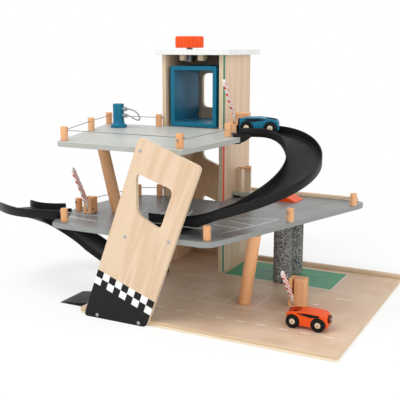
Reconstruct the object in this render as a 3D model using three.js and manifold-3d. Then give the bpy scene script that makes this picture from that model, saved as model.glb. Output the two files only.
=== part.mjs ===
// A toy parking garage in wood: three floors, a lift tower with a winch knob, two moulded
// U-turn tracks, barriers, a car wash, a charging column and two cars.
// Millimetres, +Z up, +X along the front edge, +Y to the back.
// The origin is the middle of the base board's underside.
import * as THREE from 'three';
import { mergeVertices } from 'three/addons/utils/BufferGeometryUtils.js';
import Module from 'manifold-3d';

const wasm = await Module();
wasm.setup();

// Boards and floors.
const baseWidth = 510;
const baseDepth = 470;
const baseThickness = 10;
const baseCornerRadius = 8;
const deckThickness = 10;
const lowerStorey = 151;
const upperStorey = 147;
const towerStorey = 155;
const seatGap = 0.3;
const cutOverrun = 5;

// Back rails along the two large floors.
const railThickness = 10;
const railHeight = 8;

// Lift tower in the back left corner of the base.
const towerWidth = 147.5;
const towerDepth = 143.5;
const wallThickness = 9;
const windowWidth = 86;
const windowHeight = 79;
const slantWindowSill = 70;
const slantWindowHeight = 73;
const slantWindowDrop = 32;
const windowSill = 33;
const windowCornerRadius = 14;
const grooveWidth = 3;
const grooveDepth = 1.2;
const grooveInset = 6;
const roofThickness = 11;
const roofOverhang = 12;
const roofRightOverhang = 20;
const roofCornerRadius = 6;

// Lift cabin, winch and knob.
const cabinWidth = 111;
const cabinDepth = 118;
const cabinHeight = 131;
const cabinWall = 9;
const cabinCornerRadius = 2.5;
const cabinFrontInset = 5;
const pegRadius = 3;
const pegHeight = 5;
const knobRadius = 31.5;
const knobHeight = 25;
const knobFluteDepth = 2.6;
const knobFlutes = 20;
const knobEdge = 1.5;
const knobLift = 3.5;
const knobBoreDepth = 14;
const shaftRadius = 4;
const shaftClearance = 0.4;
const shaftCollarRadius = 7;
const drumRadius = 12;
const drumFlangeRadius = 15;
const drumFlange = 2;
const drumHeight = 12;
const winchInsetX = 42.5;
const winchInsetY = 48.5;
const liftCordRadius = 0.8;
const guideBlock = 12;
const roofBlockWidth = 13;
const roofBlockDepth = 9;
const roofBlockHeight = 12;
const roofBlockInset = 14;

// Outline of the middle floor: reaches past the base board's left edge, widths and depths.
const midFrontReach = 57;
const midWaistReach = 95;
const midBackReach = 75;
const midFrontWidth = 335;
const midBackWidth = 510;
const midWaistDepth = 85;
const midBendGap = 26.5;
const midCornerRadius = 22;
const midTipRadius = 45;
const midTipRailShare = 0.6;

// Outline of the top floor, in the same way.
const topFrontReach = 41;
const topBackReach = 142;
const topFrontWidth = 266;
const topCornerRadius = 14;
const topBackRightX = 68;
const topNoseReach = 15;
const topNoseRise = 52;

// Slanted front panel.
const panelThickness = 9;
const panelInset = 17.5;
const panelWidth = 137.5;
const panelSlant = THREE.MathUtils.degToRad(20.4);
const panelHeight = 347;
const panelCornerRadius = 9;
const panelWindowInset = 121.5;
const panelWindowWidth = 75;
const panelWindowHeight = 102;
const panelWindowDrop = 60;
const panelWindowSlantShare = 0.85;
const panelWindowCorner = 13;

// Moulded U-turn track.
const trackRadius = 101;
const trackWidth = 66;
const trackWall = 2.6;
const trackFloor = 3;
const trackRim = 14.4;
const trackLip = 1.2;
const trackStartAngle = THREE.MathUtils.degToRad(119);
const trackStraight = 178;
const trackLeadIn = 14;
const trackSeat = 4;
const upperStartLevel = 58;
const lowerStartLevel = 112;
const trackEndLevel = 52;
const trackEaseShare = 0.2;
const trackSteps = 68;
const upperTrackInset = 282;
const upperTrackDepth = 160;
const lowerTrackReach = 137;
const lowerTrackDepth = 143;

// Posts and rail cords.
const postRadius = 7;
const postHeight = 26;
const postChamfer = 1.2;
const postCordHeight = 19;
const cordRadius = 0.8;
const cordClearance = 0.35;
const sideCordDrop = 5;
const frontPostInset = 17;
const cornerPostInset = 12;
const topCornerPostInset = 8;
const sidePostInset = 7;
const sidePostReach = 185;
const towerPostInset = 4;
const towerPostGap = 9;
const sidePostTowerGap = 19;
const nosePostX = 26;
const nosePostY = 1;
const waistPostX = 21;
const waistPostY = 25;
const bendPostX = 29;
const bendPostY = 5;
const nearPostInset = 4.5;
const nearPostReach = 215;
const farPostInset = 4.5;
const farPostReach = 55;

// Slanted round columns.
const columnRadius = 12;
const lowerColumnInset = 272;
const lowerColumnDepth = 166.5;
const lowerColumnLeanX = 38;
const lowerColumnLeanY = -41.5;
const upperColumnInset = 4;
const upperColumnDepth = 135;
const upperColumnLeanX = -36.5;

// Fuel column.
const fuelFootRadius = 18;
const fuelFootHeight = 14;
const fuelShaftRadius = 12;
const fuelHeight = 51;
const fuelFootShare = 0.4;
const fuelFromTowerX = 71;
const fuelFromTowerY = 67.5;
const nozzleRadius = 4.5;
const nozzleLength = 14;
const nozzleRise = 14;
const nozzleTop = 40;
const hoseRadius = 1.5;

// Ramps.
const entryRampX = 67;
const entryRampY = 77;
const entryRampInset = 28;
const entryRampNose = 0.8;
const humpX = 60;
const humpY = 46;
const humpHeight = 13;
const humpNose = 0.8;
const humpFromTower = 119;
const humpFromBack = 64;

// Barriers.
const blockWidth = 18;
const blockDepth = 24;
const blockHeight = 38;
const boothWidth = 32;
const boothHeight = 57;
const blockEdge = 1.5;
const armThickness = 4;
const armSlot = 5;
const armBreadth = 10;
const armLength = 105;
const pivotInset = 8;
const armTipShare = 0.4;
const boothInset = 370.9;
const boothFromFront = 199.2;
const middleBarrierInset = 14;
const middleBarrierFromFront = 107;
const topBarrierFromTower = 48.5;
const topBarrierGap = 15.5;
const pivotHeight = 8.5;
const topPivotHeight = 21;
const topBlockWidth = 36;
const middleBlockHeight = 32;
const baseArmLean = THREE.MathUtils.degToRad(41);
const middleArmLean = THREE.MathUtils.degToRad(30);
const topArmLean = THREE.MathUtils.degToRad(35);

// Wash rollers.
const rollerRadius = 20;
const rollerPin = 3;
const rollerPinDepth = 5;
const rollerGap = 1;
const rollerInset = 288;
const rollerFromBack = 139;
const rollerPitch = 70;
const rollerRibs = 20;
const rollerRibDepth = 1.6;

// Cars.
const carLength = 78;
const carWidth = 36;
const carHeight = 26;
const carClearance = 7;
const carEdge = 3;
const carInset = 2;
const carNoseRadius = 12;
const carTailRadius = 14;
const carNoseSlope = 2;
const carTailDrop = 5;
const seatRadius = 10.5;
const seatDepth = 8;
const seatFromTail = 15;
const bumperRadius = 7.5;
const bumperReach = 3;
const bumperDrop = 11;
const hubDome = 0.8;
const hubStep = 0.4;
const wheelBase = 47;
const wheelRadius = 12.5;
const wheelWidth = 8;
const wheelAxle = 2.5;
const wheelGap = 1;
const hubRadius = 5.5;
const archClearance = 1;
const axleClearance = 0.5;
const carTrackAngle = THREE.MathUtils.degToRad(102.4);
const redCarInset = 424.5;
const redCarFromFront = 102;

// Places worked out from the sizes above.
const baseLeft = -baseWidth / 2;
const baseRight = baseWidth / 2;
const baseFront = -baseDepth / 2;
const baseBack = baseDepth / 2;
const midUnder = baseThickness + lowerStorey;
const midTop = midUnder + deckThickness;
const topUnder = midTop + upperStorey;
const topTop = topUnder + deckThickness;
const roofUnder = topTop + towerStorey;
const roofTop = roofUnder + roofThickness;
const towerRight = baseLeft + towerWidth;
const towerFront = baseBack - towerDepth;
const cabinX = baseLeft + towerWidth / 2;
const cabinFront = towerFront + cabinFrontInset;
const cabinY = cabinFront + cabinDepth / 2;
const winchX = baseLeft + winchInsetX;
const winchY = towerFront + winchInsetY;
const midLeftFront = baseLeft - midFrontReach;
const midLeftWaist = baseLeft - midWaistReach;
const midLeftBack = baseLeft - midBackReach;
const midRightFront = midLeftFront + midFrontWidth;
const midRightBack = midLeftBack + midBackWidth;
const midWaistY = baseFront + midWaistDepth;
const midLeftBackY = towerFront - midBendGap;
const topLeftFront = baseLeft - topFrontReach;
const topLeftBack = baseLeft - topBackReach;
const topRightFront = topLeftFront + topFrontWidth;
const topRightNose = topRightFront + topNoseReach;
const panelLeft = baseLeft + panelInset;
const upperTrackX = baseLeft + upperTrackInset;
const upperTrackY = baseFront + upperTrackDepth;
const topNoseY = upperTrackY + topNoseRise;
const trackArcLength = trackRadius * (trackStartAngle + Math.PI / 2);
const lowerTrackX = baseLeft - lowerTrackReach;
const lowerTrackY = baseFront + lowerTrackDepth;
const rollerX = baseLeft + rollerInset;
const fuelX = baseLeft - fuelFromTowerX;
const fuelY = towerFront - fuelFromTowerY;
const rollerFrontY = baseBack - rollerFromBack;

const group = new THREE.Group();

function add(name, geometry, material) {
  const mesh = new THREE.Mesh(geometry, material());
  mesh.name = name;
  group.add(mesh);
  return mesh;
}

// Finishes: each call gives the piece a material of its own.
const paint = (color, roughness, metalness = 0) => () =>
  new THREE.MeshStandardMaterial({ color, roughness, metalness });
const birch = paint(0xe8d0b2, 0.55);
const beech = paint(0xebaf7d, 0.5);
const groundPrint = paint(0xd7bea5, 0.5);
const deckGrey = paint(0x878e91, 0.4);
const paleGrey = paint(0xc8cdcb, 0.45);
const whitePaint = paint(0xf2f3f2, 0.4);
const tealPaint = paint(0x00698c, 0.4);
const redPaint = paint(0xf05020, 0.4);
const stripePaint = paint(0xf4ece6, 0.45);
const blackPlastic = paint(0x1e1e1e, 0.45);
const greyPlastic = paint(0x8a9094, 0.45);
const greyCord = paint(0x9a9a98, 0.8);
const steel = paint(0x4a4a4c, 0.35, 0.9);
const foam = paint(0x4c4d4c, 0.95);
const tyreBlack = paint(0x1b1b1c, 0.7);

// Closed solids for the boolean cuts.
function solid(geometry) {
  const bare = new THREE.BufferGeometry();
  bare.setAttribute('position', geometry.getAttribute('position').clone());
  if (geometry.index) bare.setIndex(geometry.index.clone());
  const merged = mergeVertices(bare, 1e-4);
  return new wasm.Manifold(new wasm.Mesh({
    numProp: 3,
    vertProperties: new Float32Array(merged.getAttribute('position').array),
    triVerts: new Uint32Array(merged.index.array),
  }));
}

function surface(manifold) {
  const mesh = manifold.getMesh();
  const geometry = new THREE.BufferGeometry();
  geometry.setAttribute('position', new THREE.BufferAttribute(mesh.vertProperties, 3));
  geometry.setIndex(new THREE.BufferAttribute(mesh.triVerts, 1));
  geometry.computeVertexNormals();
  return geometry;
}

function cut(geometry, ...tools) {
  let body = solid(geometry);
  for (const tool of tools) body = body.subtract(solid(tool));
  return surface(body);
}

function join(geometry, ...others) {
  let body = solid(geometry);
  for (const other of others) body = body.add(solid(other));
  return surface(body);
}

// A closed outline through corner points, each corner rounded by its own radius.
function roundedShape(corners) {
  const shape = new THREE.Shape();
  const count = corners.length;
  corners.forEach(([x, y, radius = 0], i) => {
    const before = corners[(i + count - 1) % count];
    const after = corners[(i + 1) % count];
    const here = new THREE.Vector2(x, y);
    const toBefore = new THREE.Vector2(before[0] - x, before[1] - y);
    const toAfter = new THREE.Vector2(after[0] - x, after[1] - y);
    const reach = Math.min(radius, toBefore.length() / 2, toAfter.length() / 2);
    const start = here.clone().addScaledVector(toBefore.normalize(), reach);
    const end = here.clone().addScaledVector(toAfter.normalize(), reach);
    if (i === 0) shape.moveTo(start.x, start.y);
    else shape.lineTo(start.x, start.y);
    if (reach > 0) shape.quadraticCurveTo(x, y, end.x, end.y);
  });
  shape.closePath();
  return shape;
}

function rectangle(x0, y0, x1, y1, radius = 0) {
  return roundedShape([[x0, y0, radius], [x1, y0, radius], [x1, y1, radius], [x0, y1, radius]]);
}

function plate(shape, thickness, z, curveSegments = 5) {
  const geometry = new THREE.ExtrudeGeometry(shape, { depth: thickness, bevelEnabled: false, curveSegments });
  return geometry.translate(0, 0, z);
}

// An outline drawn in X and Z, standing upright and extruded from y towards the back.
function upright(shape, thickness, y, curveSegments = 5) {
  const geometry = new THREE.ExtrudeGeometry(shape, { depth: thickness, bevelEnabled: false, curveSegments });
  return geometry.rotateX(Math.PI / 2).translate(0, y + thickness, 0);
}

function brick(x0, y0, z0, x1, y1, z1) {
  const geometry = new THREE.BoxGeometry(x1 - x0, y1 - y0, z1 - z0);
  return geometry.translate((x0 + x1) / 2, (y0 + y1) / 2, (z0 + z1) / 2);
}

function turned(profile, segments = 24) {
  const points = profile.map(([r, z]) => new THREE.Vector2(r, z));
  return new THREE.LatheGeometry(points, segments).rotateX(Math.PI / 2);
}

function pin(radius, x, y, z0, z1, segments = 16) {
  const geometry = new THREE.CylinderGeometry(radius, radius, z1 - z0, segments);
  return geometry.rotateX(Math.PI / 2).translate(x, y, (z0 + z1) / 2);
}

// A skin over rings that all have the same number of points, closed by two caps.
function loft(rings, section) {
  const sides = section.length;
  const positions = rings.flat(2);
  const index = [];
  for (let i = 0; i < rings.length - 1; i += 1) {
    for (let k = 0; k < sides; k += 1) {
      const a = i * sides + k;
      const b = i * sides + ((k + 1) % sides);
      index.push(a, b, a + sides, b, b + sides, a + sides);
    }
  }
  const last = (rings.length - 1) * sides;
  for (const [a, b, c] of THREE.ShapeUtils.triangulateShape(section, [])) {
    index.push(a, c, b);
    index.push(last + a, last + b, last + c);
  }
  const geometry = new THREE.BufferGeometry();
  geometry.setAttribute('position', new THREE.Float32BufferAttribute(positions, 3));
  geometry.setIndex(index);
  geometry.computeVertexNormals();
  return geometry;
}

// A round cord or hose through points, with every bend eased by short chords.
function cordAlong(points, radius, sides = 8, bendShare = 0.08) {
  const path = new THREE.CurvePath();
  const places = points.map((p) => new THREE.Vector3(...p));
  let from = places[0];
  for (let i = 1; i < places.length; i += 1) {
    const to = places[i];
    if (i === places.length - 1) {
      path.add(new THREE.LineCurve3(from, to));
      break;
    }
    const enter = to.clone().lerp(places[i - 1], bendShare);
    const leave = to.clone().lerp(places[i + 1], bendShare);
    path.add(new THREE.LineCurve3(from, enter));
    path.add(new THREE.QuadraticBezierCurve3(enter, to, leave));
    from = leave;
  }
  const stops = [];
  path.curves.forEach((curve, i) => {
    const parts = curve.isLineCurve3 ? 1 : 4;
    for (let k = i === 0 ? 0 : 1; k <= parts; k += 1) stops.push([curve.getPoint(k / parts), curve.getTangent(k / parts)]);
  });
  const section = [];
  for (let k = 0; k < sides; k += 1) {
    const turn = (2 * Math.PI * k) / sides;
    section.push(new THREE.Vector2(Math.cos(turn) * radius, Math.sin(turn) * radius));
  }
  let side = null;
  const rings = stops.map(([place, tangent]) => {
    if (!side) side = new THREE.Vector3(0, 0, 1).cross(tangent);
    if (side.lengthSq() < 1e-6) side = new THREE.Vector3(1, 0, 0);
    side.addScaledVector(tangent, -side.dot(tangent)).normalize();
    const rise = tangent.clone().cross(side);
    return section.map((p) => place.clone().addScaledVector(side, p.x).addScaledVector(rise, p.y).toArray());
  });
  return loft(rings, section);
}

// Boards and floors.
function makeFloors() {
  const pinHole = (y, z0, z1) => pin(rollerPin + cordClearance, rollerX, y, z0, z1);
  const rollerYs = [rollerFrontY, rollerFrontY + rollerPitch];
  const baseShape = rectangle(baseLeft, baseFront, baseRight, baseBack, baseCornerRadius);
  const baseHoles = rollerYs.map((y) => pinHole(y, baseThickness - rollerPinDepth - rollerGap, baseThickness + cutOverrun));
  add('base_board', cut(plate(baseShape, baseThickness, 0), ...baseHoles), groundPrint);
  add('base_back_rail', brick(towerRight + seatGap, baseBack - railThickness, baseThickness + seatGap,
    baseRight, baseBack, baseThickness + seatGap + railHeight), birch);

  const towerEdge = towerFront - seatGap;
  const midOutline = roundedShape([
    [midLeftFront, baseFront, midCornerRadius / 4],
    [midRightFront, baseFront, midCornerRadius],
    [midRightBack, baseBack, midTipRadius],
    [towerRight + seatGap, baseBack],
    [towerRight + seatGap, towerEdge],
    [baseLeft, towerEdge],
    [midLeftBack, midLeftBackY, midCornerRadius],
    [midLeftWaist, midWaistY, midCornerRadius],
  ]);
  const midHoles = rollerYs.map((y) => pinHole(y, midUnder - cutOverrun, midUnder + rollerPinDepth + rollerGap));
  add('middle_floor', cut(plate(midOutline, deckThickness, midUnder), ...midHoles), deckGrey);
  add('middle_back_rail', brick(towerRight + seatGap, baseBack - railThickness, midTop + seatGap,
    midRightBack - midTipRadius * midTipRailShare, baseBack, midTop + seatGap + railHeight), birch);

  const startPoint = (span) => {
    const [x, y] = trackPoint(trackSeat, trackRadius + span);
    return [upperTrackX + x, upperTrackY + y];
  };
  const topOutline = roundedShape([
    [topLeftFront, baseFront, topCornerRadius],
    [topRightFront, baseFront, baseCornerRadius],
    [topRightNose, topNoseY],
    startPoint(-trackWidth / 2),
    startPoint(trackWidth / 2),
    [towerRight + topBackRightX, towerEdge],
    [topLeftBack, towerEdge, baseCornerRadius],
  ]);
  add('top_floor', plate(topOutline, deckThickness, topUnder), paleGrey);
}

// The front panel leans to the right and carries both upper floors.
function makePanel() {
  const lean = Math.tan(panelSlant);
  const along = new THREE.Vector2(Math.sin(panelSlant), Math.cos(panelSlant));
  const leftTop = [panelLeft + lean * panelHeight, panelHeight];
  const squareWidth = panelWidth * along.y;
  const rightTop = [leftTop[0] + squareWidth * along.y, leftTop[1] - squareWidth * along.x];
  const outline = roundedShape([
    [panelLeft, 0, panelCornerRadius],
    [panelLeft + panelWidth, 0, panelCornerRadius],
    [rightTop[0], rightTop[1], panelCornerRadius],
    [leftTop[0], leftTop[1], panelCornerRadius],
  ]);
  const windowTop = panelHeight - panelWindowDrop;
  const windowBottom = windowTop - panelWindowHeight;
  const windowLeft = panelLeft + panelWindowInset;
  const windowRight = windowLeft + panelWindowWidth;
  const windowDrop = panelWindowWidth * lean;
  const lowerRight = windowRight - lean * (panelWindowHeight - windowDrop);
  outline.holes.push(roundedShape([
    [windowLeft, windowTop - panelWindowCorner / 4, panelWindowCorner],
    [windowRight, windowTop - windowDrop, panelWindowCorner],
    [lowerRight, windowBottom, panelWindowCorner],
    [windowLeft, windowBottom + windowDrop * panelWindowSlantShare, panelWindowCorner],
  ]));
  add('front_panel', upright(outline, panelThickness, baseFront - seatGap - panelThickness, 6), birch);
}

// Lift tower: two side walls, a back wall with a window at each floor, and the roof.
function makeTower() {
  const z0 = baseThickness + seatGap;
  const z1 = roofUnder - seatGap;
  add('tower_left_wall', brick(baseLeft, towerFront, z0, baseLeft + wallThickness, baseBack, z1), birch);
  const groove = brick(towerRight - grooveDepth, towerFront + grooveInset, z0 - cutOverrun,
    towerRight + cutOverrun, towerFront + grooveInset + grooveWidth, z1 + cutOverrun);
  const rightWall = brick(towerRight - wallThickness, towerFront, z0, towerRight, baseBack, z1);
  add('tower_right_wall', cut(rightWall, groove), birch);
  const innerLeft = baseLeft + wallThickness + seatGap;
  const innerRight = towerRight - wallThickness - seatGap;
  const backShape = rectangle(innerLeft, z0, innerRight, z1);
  const windowLeft = cabinX - windowWidth / 2;
  const windowRight = windowLeft + windowWidth;
  const sill = topTop + windowSill;
  backShape.holes.push(rectangle(windowLeft, sill, windowRight, sill + windowHeight, windowCornerRadius));
  for (const floor of [baseThickness, midTop]) {
    const foot = floor + slantWindowSill;
    backShape.holes.push(roundedShape([
      [windowLeft, foot, windowCornerRadius],
      [windowRight, foot - slantWindowDrop, windowCornerRadius],
      [windowRight, foot - slantWindowDrop + slantWindowHeight, windowCornerRadius],
      [windowLeft, foot + slantWindowHeight, windowCornerRadius],
    ]));
  }
  add('tower_back_wall', upright(backShape, wallThickness, baseBack - wallThickness), birch);
  const roofShape = rectangle(baseLeft - roofOverhang, towerFront - roofOverhang,
    towerRight + roofRightOverhang, baseBack + roofOverhang, roofCornerRadius);
  const bore = pin(shaftRadius + shaftClearance, winchX, winchY, roofUnder - cutOverrun, roofTop + cutOverrun, 24);
  add('roof', cut(plate(roofShape, roofThickness, roofUnder), bore), whitePaint);
  for (const [name, x] of [['roof_block_left', winchX], ['roof_block_right', cabinX + roofBlockWidth]]) {
    const y = towerFront + roofBlockInset;
    add(name, brick(x - roofBlockWidth / 2, y, roofUnder - seatGap - roofBlockHeight,
      x + roofBlockWidth / 2, y + roofBlockDepth, roofUnder - seatGap), birch);
  }
}

// The cabin is a box open at the front and the back, with a peg on top for the cord.
function makeLift() {
  const x0 = cabinX - cabinWidth / 2;
  const z0 = topTop + seatGap;
  const outline = rectangle(x0, z0, x0 + cabinWidth, z0 + cabinHeight, cabinCornerRadius);
  outline.holes.push(rectangle(x0 + cabinWall, z0 + cabinWall, x0 + cabinWidth - cabinWall,
    z0 + cabinHeight - cabinWall, cabinCornerRadius));
  const pegFoot = z0 + cabinHeight;
  const peg = pin(pegRadius, cabinX, cabinY, pegFoot - cabinWall / 2, pegFoot + pegHeight);
  add('lift_cabin', join(upright(outline, cabinDepth, cabinFront), peg), tealPaint);

  // Knob and winch drum turn together on one upright shaft.
  const knobUnder = roofTop + knobLift;
  const boreTop = knobUnder + knobBoreDepth;
  const flutes = [];
  const steps = knobFlutes * 5;
  for (let i = 0; i < steps; i += 1) {
    const turn = (2 * Math.PI * i) / steps;
    const wave = Math.abs(Math.cos((turn * knobFlutes) / 2));
    const r = knobRadius - knobEdge - knobFluteDepth * (1 - wave);
    flutes.push(new THREE.Vector2(Math.cos(turn) * r, Math.sin(turn) * r));
  }
  const knob = new THREE.ExtrudeGeometry(new THREE.Shape(flutes), {
    depth: knobHeight - 2 * knobEdge, bevelThickness: knobEdge, bevelSize: knobEdge, bevelSegments: 2,
  });
  knob.translate(winchX, winchY, knobUnder + knobEdge);
  const knobBore = pin(shaftRadius + seatGap, winchX, winchY, knobUnder - cutOverrun, boreTop + seatGap, 24);
  add('winch_knob', cut(knob, knobBore), redPaint);
  const drumTop = roofUnder - seatGap;
  const drumFoot = drumTop - drumHeight - 2 * drumFlange;
  const shaft = turned([
    [0, drumFoot],
    [drumFlangeRadius, drumFoot],
    [drumFlangeRadius, drumFoot + drumFlange],
    [drumRadius, drumFoot + drumFlange],
    [drumRadius, drumTop - drumFlange],
    [drumFlangeRadius, drumTop - drumFlange],
    [drumFlangeRadius, drumTop],
    [shaftRadius, drumTop],
    [shaftRadius, roofTop + seatGap],
    [shaftCollarRadius, roofTop + seatGap],
    [shaftCollarRadius, knobUnder - seatGap],
    [shaftRadius, knobUnder - seatGap],
    [shaftRadius, boreTop],
    [0, boreTop],
  ], 24);
  add('winch_shaft', shaft.translate(winchX, winchY, 0), steel);

  // The cord runs level from the drum to the guide, then straight down to the cabin's peg.
  const guideTop = roofUnder - seatGap;
  const guide = brick(cabinX - guideBlock / 2, cabinY - guideBlock / 2, guideTop - guideBlock,
    cabinX + guideBlock / 2, cabinY + guideBlock / 2, guideTop);
  const level = guideTop - drumFlange - drumHeight / 2;
  const toDrum = new THREE.Vector2(winchX - cabinX, winchY - cabinY);
  const reach = Math.sqrt(toDrum.lengthSq() - (drumRadius + liftCordRadius + seatGap) ** 2);
  const bend = Math.atan2(drumRadius + liftCordRadius + seatGap, reach);
  const away = toDrum.clone().normalize().rotateAround(new THREE.Vector2(0, 0), -bend);
  const route = [
    [cabinX + away.x * reach, cabinY + away.y * reach, level],
    [cabinX, cabinY, level],
    [cabinX, cabinY, pegFoot + pegHeight + seatGap],
  ];
  const passage = route.map((p) => [...p]);
  passage[2][2] = level - guideBlock;
  add('lift_guide', cut(guide, cordAlong(passage, liftCordRadius + cordClearance, 8, 0.12)), birch);
  add('lift_cord', cordAlong(route, liftCordRadius, 8, 0.12), greyCord);
}

// Slanted columns, cut level at both ends.
function makeColumns() {
  const column = (name, foot, head, z0, z1) => {
    const rings = [[foot, z0], [head, z1]].map(([[x, y], z]) => {
      const ring = [];
      for (let k = 0; k < 24; k += 1) {
        const turn = (2 * Math.PI * k) / 24;
        ring.push([x + Math.cos(turn) * columnRadius, y + Math.sin(turn) * columnRadius, z]);
      }
      return ring;
    });
    const section = rings[0].map(([x, y]) => new THREE.Vector2(x - foot[0], y - foot[1]));
    add(name, loft(rings, section), beech);
  };
  const lowerFoot = [baseLeft + lowerColumnInset, baseFront + lowerColumnDepth];
  const lowerHead = [lowerFoot[0] + lowerColumnLeanX, lowerFoot[1] + lowerColumnLeanY];
  const upperFoot = [baseLeft + upperColumnInset, baseFront + upperColumnDepth];
  const upperHead = [upperFoot[0] + upperColumnLeanX, upperFoot[1]];
  column('lower_column', lowerFoot, lowerHead, baseThickness + seatGap, midUnder - seatGap);
  column('upper_column', upperFoot, upperHead, midTop + seatGap, topUnder - seatGap);
}

// Posts with a cord hole through each, and the cords that join them.
function makeRailings() {
  const front = baseFront + frontPostInset;
  const leftEdge = (y) => topLeftFront + ((topLeftBack - topLeftFront) * (y - baseFront)) / (towerFront - baseFront);
  const rightEdge = (y) => midRightFront + ((midRightBack - midRightFront) * (y - baseFront)) / baseDepth;
  const sideNear = baseFront + sidePostReach;
  const sideFar = towerFront - sidePostTowerGap;
  const rightNear = baseFront + nearPostReach;
  const rightFar = baseBack - farPostReach;
  const byTower = [baseLeft - towerPostInset, towerFront - towerPostGap];
  const railings = [
    {
      floor: topTop,
      posts: {
        top_post_1: [topRightFront - cornerPostInset, front],
        top_post_2: [topLeftFront + topCornerPostInset, front],
        top_post_3: [leftEdge(sideNear) + sidePostInset, sideNear],
        top_post_4: [leftEdge(sideFar) + sidePostInset, sideFar],
        top_post_5: byTower,
        top_post_6: [topRightNose - nosePostX, topNoseY - nosePostY],
      },
      cords: {
        top_rail_cord: ['top_post_1', 'top_post_2', 'top_post_3', 'top_post_4', 'top_post_5'],
        top_side_cord: ['top_post_1', 'top_post_6'],
      },
    },
    {
      floor: midTop,
      posts: {
        middle_post_1: [midLeftFront + frontPostInset, front],
        middle_post_2: [midLeftWaist + waistPostX, midWaistY + waistPostY],
        middle_post_3: [midLeftBack + bendPostX, midLeftBackY - bendPostY],
        middle_post_4: byTower,
        middle_post_5: [midRightFront - cornerPostInset, front],
        middle_post_6: [rightEdge(rightNear) - nearPostInset, rightNear],
        middle_post_7: [rightEdge(rightFar) - farPostInset, rightFar],
      },
      cords: {
        middle_front_cord: ['middle_post_1', 'middle_post_5'],
        middle_left_cord: ['middle_post_2', 'middle_post_3', 'middle_post_4'],
        middle_right_cord: ['middle_post_6', 'middle_post_7'],
      },
    },
  ];
  for (const { floor, posts, cords } of railings) {
    const z = floor + seatGap + postCordHeight;
    const level = (name) => (name === 'top_side_cord' ? z - sideCordDrop : z);
    const routes = Object.entries(cords)
      .map(([name, names]) => [name, names, names.map((n) => [...posts[n], level(name)])]);
    for (const [name, [x, y]] of Object.entries(posts)) {
      const foot = floor + seatGap;
      const top = foot + postHeight;
      const body = turned([
        [0, foot],
        [postRadius, foot],
        [postRadius, top - postChamfer],
        [postRadius - postChamfer, top],
        [0, top],
      ], 20).translate(x, y, 0);
      const holes = routes.filter(([, names]) => names.includes(name))
        .map(([, names, route]) => cordAlong(stretched(route, names.length), cordRadius + cordClearance));
      add(name, cut(body, ...holes), beech);
    }
    for (const [name, , route] of routes) add(name, cordAlong(stretched(route), cordRadius), greyCord);
  }
}

// A route whose ends are carried on a little past the last post, where the cord is knotted.
function stretched(route) {
  const ends = route.map((p) => new THREE.Vector3(...p));
  const first = ends[0].clone().sub(ends[1]).normalize();
  const last = ends[ends.length - 1].clone().sub(ends[ends.length - 2]).normalize();
  const reach = postRadius + cordRadius;
  ends[0].addScaledVector(first, reach);
  ends[ends.length - 1].addScaledVector(last, reach);
  return ends.map((p) => p.toArray());
}

// Turned fuel column with two nozzles and a loop of hose.
function makeFuelColumn() {
  const z = topTop + seatGap;
  const profile = [[0, z], [fuelFootRadius, z], [fuelFootRadius, z + fuelFootHeight * fuelFootShare]];
  for (let i = 1; i <= 6; i += 1) {
    const turn = (Math.PI / 2) * (i / 6);
    profile.push([
      fuelShaftRadius + (fuelFootRadius - fuelShaftRadius) * (1 - Math.sin(turn)),
      z + fuelFootHeight * (1 - (1 - fuelFootShare) * Math.cos(turn)),
    ]);
  }
  profile.push([fuelShaftRadius, z + fuelHeight - postChamfer]);
  profile.push([fuelShaftRadius - postChamfer, z + fuelHeight], [0, z + fuelHeight]);
  const nozzleLevels = [nozzleTop, nozzleTop - nozzleRise];
  const socket = (rise) => nozzleShape(rise, nozzleRadius + seatGap, -seatGap, nozzleLength + cutOverrun);
  const body = turned(profile, 28).translate(fuelX, fuelY, 0);
  add('fuel_column', cut(body, ...nozzleLevels.map(socket)), tealPaint);
  nozzleLevels.forEach((rise, i) => {
    add(i === 0 ? 'upper_nozzle' : 'lower_nozzle', nozzleShape(rise, nozzleRadius, 0, nozzleLength), greyPlastic);
  });
  const tip = fuelX + fuelShaftRadius + nozzleLength - nozzleRadius + seatGap;
  const loop = [
    [0, 0], [0.3, 0], [1.25, 0.2], [2, 0.73], [2.26, 1.45], [1.74, 1.6], [0.9, 1.25], [0.3, 1], [0, 1],
  ];
  const points = loop.map(([out, down]) => [
    tip + out * nozzleRise, fuelY, z + nozzleTop - down * nozzleRise,
  ]);
  add('fuel_hose', hoseThrough(points), greyPlastic);
}

function nozzleShape(rise, radius, start, length) {
  const geometry = new THREE.CylinderGeometry(radius, radius, length - start, 16);
  geometry.rotateZ(Math.PI / 2);
  const x = fuelX + fuelShaftRadius - nozzleRadius + (start + length) / 2;
  return geometry.translate(x, fuelY, topTop + seatGap + rise);
}

function hoseThrough(points) {
  const curve = new THREE.CatmullRomCurve3(points.map((p) => new THREE.Vector3(...p)));
  const ring = new THREE.Shape();
  ring.absarc(0, 0, hoseRadius, 0, 2 * Math.PI);
  return new THREE.ExtrudeGeometry(ring, { steps: 24, curveSegments: 4, extrudePath: curve });
}

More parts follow.
